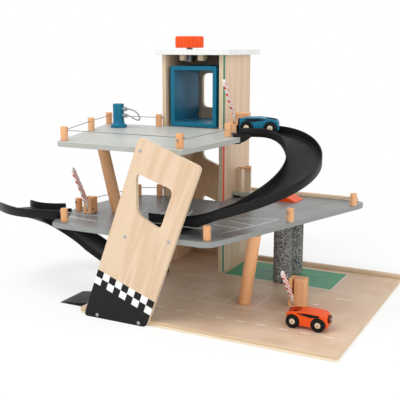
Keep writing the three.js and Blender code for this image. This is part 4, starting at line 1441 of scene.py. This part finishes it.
# %% Ramps and fuel column
FUEL_FOOT = 0.3283
FUEL_TOP = 0.3793
FUEL_RADIUS = 0.012
FUEL_EDGE = 0.0014
BELL_RADIUS = 0.018
BELL_FOOT_EDGE = 0.0004
BELL_RIM = 0.0056
BELL_HEIGHT = 0.014

softened("entry_ramp", BLACK, width=0.0003, segments=2, angle=20)
softened("speed_hump", RED, width=0.0004, segments=2, angle=15)
fuel_outline = [
    (0.0, FUEL_FOOT),
    (BELL_RADIUS - BELL_FOOT_EDGE, FUEL_FOOT),
    (BELL_RADIUS, FUEL_FOOT + BELL_FOOT_EDGE),
    (BELL_RADIUS, FUEL_FOOT + BELL_RIM),
]
for outward, upward in quarter(1, 12):
    height = BELL_RIM + (BELL_HEIGHT - BELL_RIM) * upward
    fuel_outline.append((FUEL_RADIUS + (BELL_RADIUS - FUEL_RADIUS) * outward, FUEL_FOOT + height))
for downward, inward in quarter(0, 5):
    fuel_outline.append((FUEL_RADIUS - FUEL_EDGE * inward, FUEL_TOP - FUEL_EDGE * downward))
fuel_outline.append((0.0, FUEL_TOP))
fuel_shape = lathe(fuel_outline, middle_of("fuel_column"), 72)
publish("fuel_column_turned", fuel_shape, TEAL, stands_for=("fuel_column",))
print("ramps and fuel column are dressed")

# %% [markdown]
# The two nozzles are the same short grey rod with a collar and a rounded tip. Its outline is
# kept as shares of the measured solid's radius and length, so it fits both.

# %% Nozzles
NOZZLE_SHARES = [(0, 0), (0.8, 0), (0.8, 0.52), (1, 0.56), (1, 0.86), (0.94, 0.94), (0.7, 1), (0, 1)]
for node in ("upper_nozzle", "lower_nozzle"):
    low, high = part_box(node)
    centre = middle_of(node)
    radius = (high[2] - low[2]) / 2
    outline = [(r * radius, h * (high[0] - low[0])) for r, h in NOZZLE_SHARES]
    shape = laid(outline, Matrix.Translation((low[0], centre.y, centre.z)), 32)
    publish(node + "_turned", shape, GREY, stands_for=(node,))
print("nozzles are dressed")

# %% [markdown]
# A barrier is a beech block with a painted arm. The red bands run slantwise round the arm, so
# their mask counts along a line that is tipped against the arm's length, in the arm's own
# direction at rest.

# %% Barriers
BAND = 0.017
BAND_SHARE = 0.42
BAND_SLANT = 3.6
BAND_START = 0.022
BAND_END = 0.099
BAND_RED = linear(206, 52, 44)
ARM_WHITE = linear(246, 243, 238)
ARM_WORN = linear(226, 218, 208)
PIVOT_IN = 0.008
PIVOT_HEAD = (0.0022, 0.0008)
HEAD_GAP = 0.0001
BARRIERS = {
    "base": (0.0188, math.radians(41)),
    "middle": (0.1798, math.radians(30)),
    "top": (0.3493, math.radians(35)),
}


def banded(name, pivot, lean):
    """White paint with slanting red bands, counted along an arm that leans back from its pivot."""
    finish = Finish(name, roughness=0.42, coat=0.2, coat_roughness=0.25)
    behind = finish.y - pivot.y
    above = finish.z - pivot.z
    along = behind * -math.sin(lean) + above * math.cos(lean)
    across = behind * math.cos(lean) + above * math.sin(lean)
    slant = along + across * BAND_SLANT + finish.noise(300.0, 2.0) * 0.0008
    red = ((slant / BAND) % 1.0) < BAND_SHARE
    inside = (along > BAND_START).least(along < BAND_END)
    white = finish.mix(finish.noise(60.0, 4.0).spread(0.4, 0.7) * 0.4, ARM_WHITE, ARM_WORN)
    colour = finish.mix(red.least(inside), white, BAND_RED)
    finish.colour(finish.mix(edge_wear(finish, 0.0008) * 0.5, colour, BEECH_LIGHT))
    finish.roughness(finish.noise(90.0, 3.0).spread(0.3, 0.7, 0.36, 0.5))
    finish.bump(finish.noise(900.0), distance=0.00008, strength=0.4)
    return finish


def screw_head(centre, axis, radius, height):
    """A low domed head on a face whose normal is axis, with a round hollow sunk in its middle."""
    outline = [
        (0.0, 0.0),
        (radius, 0.0),
        (radius, height * 0.5),
        (radius * 0.86, height),
        (radius * 0.42, height),
        (radius * 0.36, height * 0.3),
        (0.0, height * 0.3),
    ]
    shape = lathe(outline, ORIGIN, 28)
    turn = Vector((0, 0, 1)).rotation_difference(Vector(axis)).to_matrix().to_4x4()
    shape.transform(Matrix.Translation(centre) @ turn)
    return shape


for place, (height, lean) in BARRIERS.items():
    arm_node = place + "_barrier_arm"
    block_node = place + "_barrier_block"
    block_low, block_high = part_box(block_node)
    pivot = Vector((middle_of(arm_node).x, block_low[1] + PIVOT_IN, height))
    arm_finish = banded(place + "_arm_bands", pivot, lean)
    softened(arm_node, arm_finish, width=0.0007, body=place + "_arm")
    softened(block_node, BEECH_UP, width=0.0009)
    head = screw_head((block_low[0] - HEAD_GAP, pivot.y, pivot.z), (-1, 0, 0), *PIVOT_HEAD)
    publish(place + "_pivot_left", head, SCREW)
    if place != "base":
        head = screw_head((block_high[0] + HEAD_GAP, pivot.y, pivot.z), (1, 0, 0), *PIVOT_HEAD)
        publish(place + "_pivot_right", head, SCREW)
print("barriers:", ", ".join(BARRIERS))

# %% [markdown]
# Five pan-head screws hold the panel to the boards behind it: two at the foot, two at the middle
# floor and one at the top floor. Their heads fill the room that the panel's face leaves.

# %% Panel screws
SCREW_RADIUS = 0.0033
SCREW_PLACES = {
    "foot_left": (-207, 6.0),
    "foot_right": (-116, 5.8),
    "middle_left": (-141, 165),
    "middle_right": (-51, 166),
    "top_left": (-105.8, 322.8),
}
for name, (x, z) in SCREW_PLACES.items():
    centre = (x / 1000, PANEL_FRONT + HEAD_ROOM, z / 1000)
    head = screw_head(centre, (0, -1, 0), SCREW_RADIUS, HEAD_ROOM)
    publish("panel_screw_" + name, head, PALE_STEEL)
print("screws:", len(SCREW_PLACES))

# %% [markdown]
# The wash rollers are sleeves of rough carpet-like foam on a dowel. Single fibres would be slow
# to draw and too fine to see, so their look comes from two things: a surface pushed in and out
# by noise in real geometry, and a speckle of dark and pale grains in the colour.

# %% Wash rollers
ROLLER_RADIUS = 0.020
ROLLER_INSET = 0.006
ROLLER_EDGE = 0.0006
ROLLER_END = 0.9
ROLLER_STEPS = 110
ROLLER_SIDES = 150
ROUGH_CLEARANCE = 0.035
PIN_RADIUS = 0.003


def speckle(name):
    """Dark foam with pale grains."""
    finish = Finish(name, roughness=0.95, specular=0.15)
    cells = {"Vector": finish.places, "Scale": 760.0}
    grains = finish.node("ShaderNodeTexVoronoi", {"feature": "F1"}, cells, output="Color")
    tone = finish.node("ShaderNodeSeparateColor", inputs={0: grains})
    fuzz = finish.noise(900.0, 3.0, 0.7)
    pale = (tone * 0.6 + fuzz * 0.4).spread(0.42, 0.62)
    colour = finish.mix(pale, linear(56, 57, 56), linear(176, 177, 174))
    finish.colour(finish.mix((tone > 0.93) * 0.6, colour, linear(205, 206, 204)))
    finish.bump(fuzz + tone * 0.5, distance=0.0006, strength=0.9)
    return finish


def rough(radius, turn, height):
    """The sleeve's radius, pushed in and out by a coarse and a fine noise."""
    place = Vector((math.cos(turn) * ROLLER_RADIUS, math.sin(turn) * ROLLER_RADIUS, height))
    coarse = noise.noise(place * 420.0)
    fine = noise.noise(place * 1100.0 + Vector((3.0, 1.0, 7.0)))
    return radius * (1 - ROUGH_CLEARANCE + 0.022 * coarse + 0.012 * fine)


def roller(node, body):
    low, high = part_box(node)
    centre = middle_of(node)
    foot = low[2] + ROLLER_INSET
    top = high[2] - ROLLER_INSET
    straight = top - foot - 2 * ROLLER_EDGE
    outline = [(0.0, foot), (ROLLER_RADIUS * ROLLER_END, foot)]
    for k in range(ROLLER_STEPS + 1):
        outline.append((ROLLER_RADIUS, foot + ROLLER_EDGE + straight * k / ROLLER_STEPS))
    outline += [(ROLLER_RADIUS * ROLLER_END, top), (0.0, top)]
    sleeve = lathe(outline, centre, ROLLER_SIDES, rough)
    publish(node + "_sleeve", sleeve, FOAM, body, (node,), smooth=80)
    pin_outline = [(0.0, low[2]), (PIN_RADIUS, low[2]), (PIN_RADIUS, high[2]), (0.0, high[2])]
    publish(node + "_pin", lathe(pin_outline, centre, 24), BEECH_UP, body, ())


FOAM = speckle("brush_foam")
roller("wash_roller_front", "front_roller")
roller("wash_roller_back", "back_roller")
print("rollers are dressed")

# %% [markdown]
# Each wheel is a black tyre on a pale wooden hub, with the end of its steel axle showing. All
# three are turned from outlines in millimetres, radius first and then the place across the
# wheel. The tyre's outline is a closed ring, so the skin inside its bore is added by hand.

# %% Wheels
WHEEL_RADIUS = 0.0125
CAR_HALF = 0.018
BORE_RADIUS = 0.0054
BORE_MIDDLE = 0.004
BORE_REACH = 1e-5
TYRE_OUTLINE = [
    (5.4, 0.6), (5.8, 0.0), (9.6, 0.0), (10.6, 0.0), (11.8, 0.3), (12.5, 1.2),
    (12.5, 6.8), (11.8, 7.7), (10.6, 8.0), (5.8, 8.0), (5.4, 7.4),
]
HUB_OUTLINE = [(0.0, 0.2), (1.3, 0.2), (1.5, -0.2), (4.4, 0.0), (5.3, 0.5), (5.4, 7.4), (0.0, 7.4)]
AXLE_END_OUTLINE = [(0.0, -0.5), (0.8, -0.4), (1.2, 0.0), (1.2, 1.0), (0.0, 1.0)]
AXLE_OUTLINE = [(0.0, -14.5), (2.5, -14.5), (2.5, 14.5), (0.0, 14.5)]
HUB_WOOD = beech("hub_birch", LENGTHWAYS, linear(238, 222, 196), linear(214, 190, 158))


def in_metres(outline):
    return [millimetres(*pair) for pair in outline]


def close_bore(shape):
    """Adds the skin between the two rings at the tyre's bore."""
    bore = [v for v in shape.verts if abs(math.hypot(v.co.x, v.co.y) - BORE_RADIUS) < BORE_REACH]
    bore.sort(key=lambda v: math.atan2(v.co.y, v.co.x))
    outside = [v for v in bore if v.co.z < BORE_MIDDLE]
    inside = [v for v in bore if v.co.z > BORE_MIDDLE]
    skin(shape, outside, inside)


def wheel_parts(carrier, along, side):
    """The tyre, hub and axle end of one wheel, as three bmeshes."""
    facing = Matrix.Rotation(-side * math.pi / 2, 4, "X") @ Matrix.Rotation(math.pi, 4, "X")
    placing = carrier @ Matrix.Translation((along, side * CAR_HALF, WHEEL_RADIUS)) @ facing
    made = []
    for outline in (TYRE_OUTLINE, HUB_OUTLINE, AXLE_END_OUTLINE):
        shape = lathe(in_metres(outline), ORIGIN, 56)
        if outline is TYRE_OUTLINE:
            close_bore(shape)
        shape.transform(placing)
        made.append(shape)
    return made


print("wheels are ready:", HUB_WOOD.material.name)

# %% [markdown]
# Both cars come from one block of wood: a long flat body with rounded ends, a round seat
# pocket and wheel arches. A black cap with a small steel stud sits on the front. A thin black
# ring round the seat is painted shade, where the pocket's rim falls into shadow. The wheels
# ride on their own bodies, so they turn.

# %% Cars
WHEEL_BASE = 0.047
BODY_HALF = 0.016
BODY_TOP = 0.033
BODY_FALL = 5 / 39
BUMPER_LEVEL = 0.022
CAP_OUTLINE = [(0, 38), (7.2, 38), (7.8, 38.6), (7.8, 41.2), (7, 42.2), (3.2, 42.4), (0, 42.4)]
STUD_OUTLINE = [(0, 42), (2.6, 42), (2.6, 42.5), (1.8, 43.1), (0, 43.2)]
SEAT_X = -0.024
SEAT_RADIUS = 0.0105
SEAT_STEPS = 64
# The thickness of the thin black ring of painted shade round the seat pocket.
SHADE_RING_RADIUS = 0.0007
# A thin black wedge-shaped sheet on each side of the body, between the wheels, as (x, z) in millimetres.
SIDE_WEDGE = [
    (-17, 28.6), (-14, 29.2), (0, 30.4), (22, 30.0),
    (27, 28.8), (24, 26.4), (10, 23.8), (-2, 25.6),
]
WEDGE_SUNK = 0.0001
WEDGE_RISE = 0.00012
BLUE_CAR_TURN = math.radians(102.4)
BLUE_CAR_PLACE = Vector((
    UPPER_CENTRE[0] + TRACK_RADIUS * math.cos(BLUE_CAR_TURN),
    UPPER_CENTRE[1] + TRACK_RADIUS * math.sin(BLUE_CAR_TURN),
    0.3319,
))
RED_CAR_PLACE = Vector((0.1695, -0.133, 0.0103))
CARS = {
    "red": (RED_CAR_PLACE, 0.0, RED, "red_paint"),
    "blue": (BLUE_CAR_PLACE, BLUE_CAR_TURN + math.pi / 2, TEAL, "teal_paint"),
}
ENDS = {"rear": -WHEEL_BASE / 2, "front": WHEEL_BASE / 2}
SIDES = {"right": -1, "left": 1}


def wheelset(car, end, along, carrier):
    """Two wheels on one axle, which turn together."""
    body = car + "_" + end + "_wheels"
    stem = car + "_car_" + end
    for label, side in SIDES.items():
        tyre, hub, axle = wheel_parts(carrier, along, side)
        publish(stem + "_" + label + "_tyre", tyre, TYRE, body, (stem + "_wheels",))
        publish(stem + "_" + label + "_hub", hub, HUB_WOOD, body, ())
        publish(stem + "_" + label + "_axle_end", axle, STEEL, body, ())
    rod = laid(in_metres(AXLE_OUTLINE), carrier @ Matrix.Translation((along, 0, WHEEL_RADIUS)), 24, "X")
    publish(stem + "_axle", rod, STEEL, body, ())


def bumper(car, carrier):
    placing = carrier @ Matrix.Translation((0, 0, BUMPER_LEVEL))
    cap = laid(in_metres(CAP_OUTLINE), placing, 40)
    publish(car + "_bumper_cap", cap, BLACK, car, ())
    stud = laid(in_metres(STUD_OUTLINE), placing, 28)
    publish(car + "_bumper_stud", stud, PALE_STEEL, car, ())


def seat_place(carrier, x, y):
    """A place on the body's sloping top."""
    return carrier @ Vector((x, y, BODY_TOP + x * BODY_FALL))


# A thin black ring round the seat pocket: painted shade, where the pocket's rim falls into shadow.
def seat_shade_ring(car, carrier):
    places = []
    for turn in turns_of(SEAT_STEPS):
        across = math.sin(turn) * SEAT_RADIUS
        places.append(seat_place(carrier, SEAT_X + math.cos(turn) * SEAT_RADIUS, across))
    shade_ring = hoop(places, seat_place(carrier, SEAT_X, 0.0), SHADE_RING_RADIUS, 10)
    publish(car + "_seat_rim", shade_ring, BLACK, car, (), smooth=60)


# A thin black wedge-shaped sheet on each side of the body, between the wheels.
def side_wedges(car, carrier):
    for label, side in SIDES.items():
        inner = side * (BODY_HALF - WEDGE_SUNK)
        outer = side * (BODY_HALF + WEDGE_RISE)
        wedge = bmesh.new()
        corners = in_metres(SIDE_WEDGE)
        slab(wedge, [(x, inner, z) for x, z in corners], [(x, outer, z) for x, z in corners])
        wedge.transform(carrier)
        publish(car + "_side_window_" + label, wedge, BLACK, car, ())


for colour, (place, heading, finish, slot) in CARS.items():
    car = colour + "_car"
    carrier = Matrix.Translation(place) @ Matrix.Rotation(heading, 4, "Z")
    softened(car + "_body", finish, width=0.0009, body=car)
    for end, along in ENDS.items():
        wheelset(colour, end, along, carrier)
    bumper(car, carrier)
    seat_shade_ring(car, carrier)
    side_wedges(car, carrier)
print("cars:", ", ".join(CARS))

# %% [markdown]
# The floor and the background are one pale surface. Near the toy about a quarter of what the
# camera sees is painted floor, so that it shows a faint shadow. Further out a white glow takes
# over, but only for the camera, so the white doesn't add light to the wood.

# %% Studio floor
PURE_WHITE = (1.0, 1.0, 1.0, 1.0)
STAGE_HALF = 6.0
STAGE_LEVEL = -0.0002
FLOOR_NEAR = 0.35
FLOOR_FAR = 1.3
FLOOR_WHITE = 0.72

stage_shape = bmesh.new()
corners = [
    (-STAGE_HALF, -STAGE_HALF),
    (STAGE_HALF, -STAGE_HALF),
    (STAGE_HALF, STAGE_HALF),
    (-STAGE_HALF, STAGE_HALF),
]
stage_shape.faces.new([stage_shape.verts.new(corner) for corner in raised(corners, STAGE_LEVEL)])
stage_mesh = bpy.data.meshes.new("studio_floor")
stage_shape.to_mesh(stage_mesh)
stage_shape.free()
studio_floor = bpy.data.objects.new("studio_floor", stage_mesh)
bpy.context.scene.collection.objects.link(studio_floor)

floor_finish = Finish("studio_floor_paint", roughness=0.7, specular=0.2)
floor_finish.colour(linear(252, 252, 252))
measure = {"operation": "LENGTH"}
distance = floor_finish.node("ShaderNodeVectorMath", measure, {0: floor_finish.places}, "Value")
camera_ray = floor_finish.node("ShaderNodeLightPath", output="Is Camera Ray")
glow = floor_finish.node("ShaderNodeEmission", inputs={"Color": PURE_WHITE, "Strength": 1.0})
faded = distance.spread(FLOOR_NEAR, FLOOR_FAR, FLOOR_WHITE, 1.0) * camera_ray
painted = Value(floor_finish, floor_finish.shader.outputs["BSDF"])
floor_shader = floor_finish.node("ShaderNodeMixShader", inputs={0: faded, 1: painted, 2: glow})
floor_finish.join(floor_shader, floor_finish.tree.nodes["Material Output"].inputs["Surface"])
stage_mesh.materials.append(floor_finish.material)
print("studio floor is", 2 * STAGE_HALF, "m wide")

# %% [markdown]
# Light Path tells what kind of ray asks for the world's colour. The camera, and rays that a
# gloss or a glass sends on, see pure white, and all others get the weaker light.

# %% World
WORLD_STRENGTH = 0.72

world = bpy.data.worlds.new("studio_world")
bpy.context.scene.world = world
world.use_nodes = True
sky = Network(world.node_tree)
rays = sky.node("ShaderNodeLightPath", output="Is Camera Ray")
seen = rays.most(rays.of("Is Glossy Ray")).most(rays.of("Is Transmission Ray"))
backdrop = sky.tree.nodes["Background"]
sky.join(PURE_WHITE, backdrop.inputs["Color"])
sky.join(WORLD_STRENGTH, backdrop.inputs["Strength"])
soft = Value(sky, backdrop.outputs["Background"])
white = sky.node("ShaderNodeBackground", inputs={"Color": PURE_WHITE, "Strength": 1.0})
sky_shader = sky.node("ShaderNodeMixShader", inputs={0: seen, 1: soft, 2: white})
sky.join(sky_shader, sky.tree.nodes["World Output"].inputs["Surface"])
print("world lights at", WORLD_STRENGTH)

# %% [markdown]
# A large disk high at the front left gives the soft shadow, and a weaker one on the right keeps
# the tower's side wall from going dark. Both are aimed at the toy's middle.

# %% Lamps
LAMP_AIM = Vector((0.0, 0.0, 0.2))


def lamp(name, place, size, power):
    data = bpy.data.lights.new(name, "AREA")
    data.shape = "DISK"
    data.size = size
    data.energy = power
    made = bpy.data.objects.new(name, data)
    made.location = place
    made.rotation_euler = (LAMP_AIM - Vector(place)).to_track_quat("-Z", "Y").to_euler()
    bpy.context.scene.collection.objects.link(made)


lamp("key_lamp", (-1.1, -1.4, 3.0), 1.7, 46.0)
lamp("fill_lamp", (2.2, -1.5, 1.3), 1.8, 20.0)
bpy.context.scene.view_settings.view_transform = "Standard"
print("studio is lit")
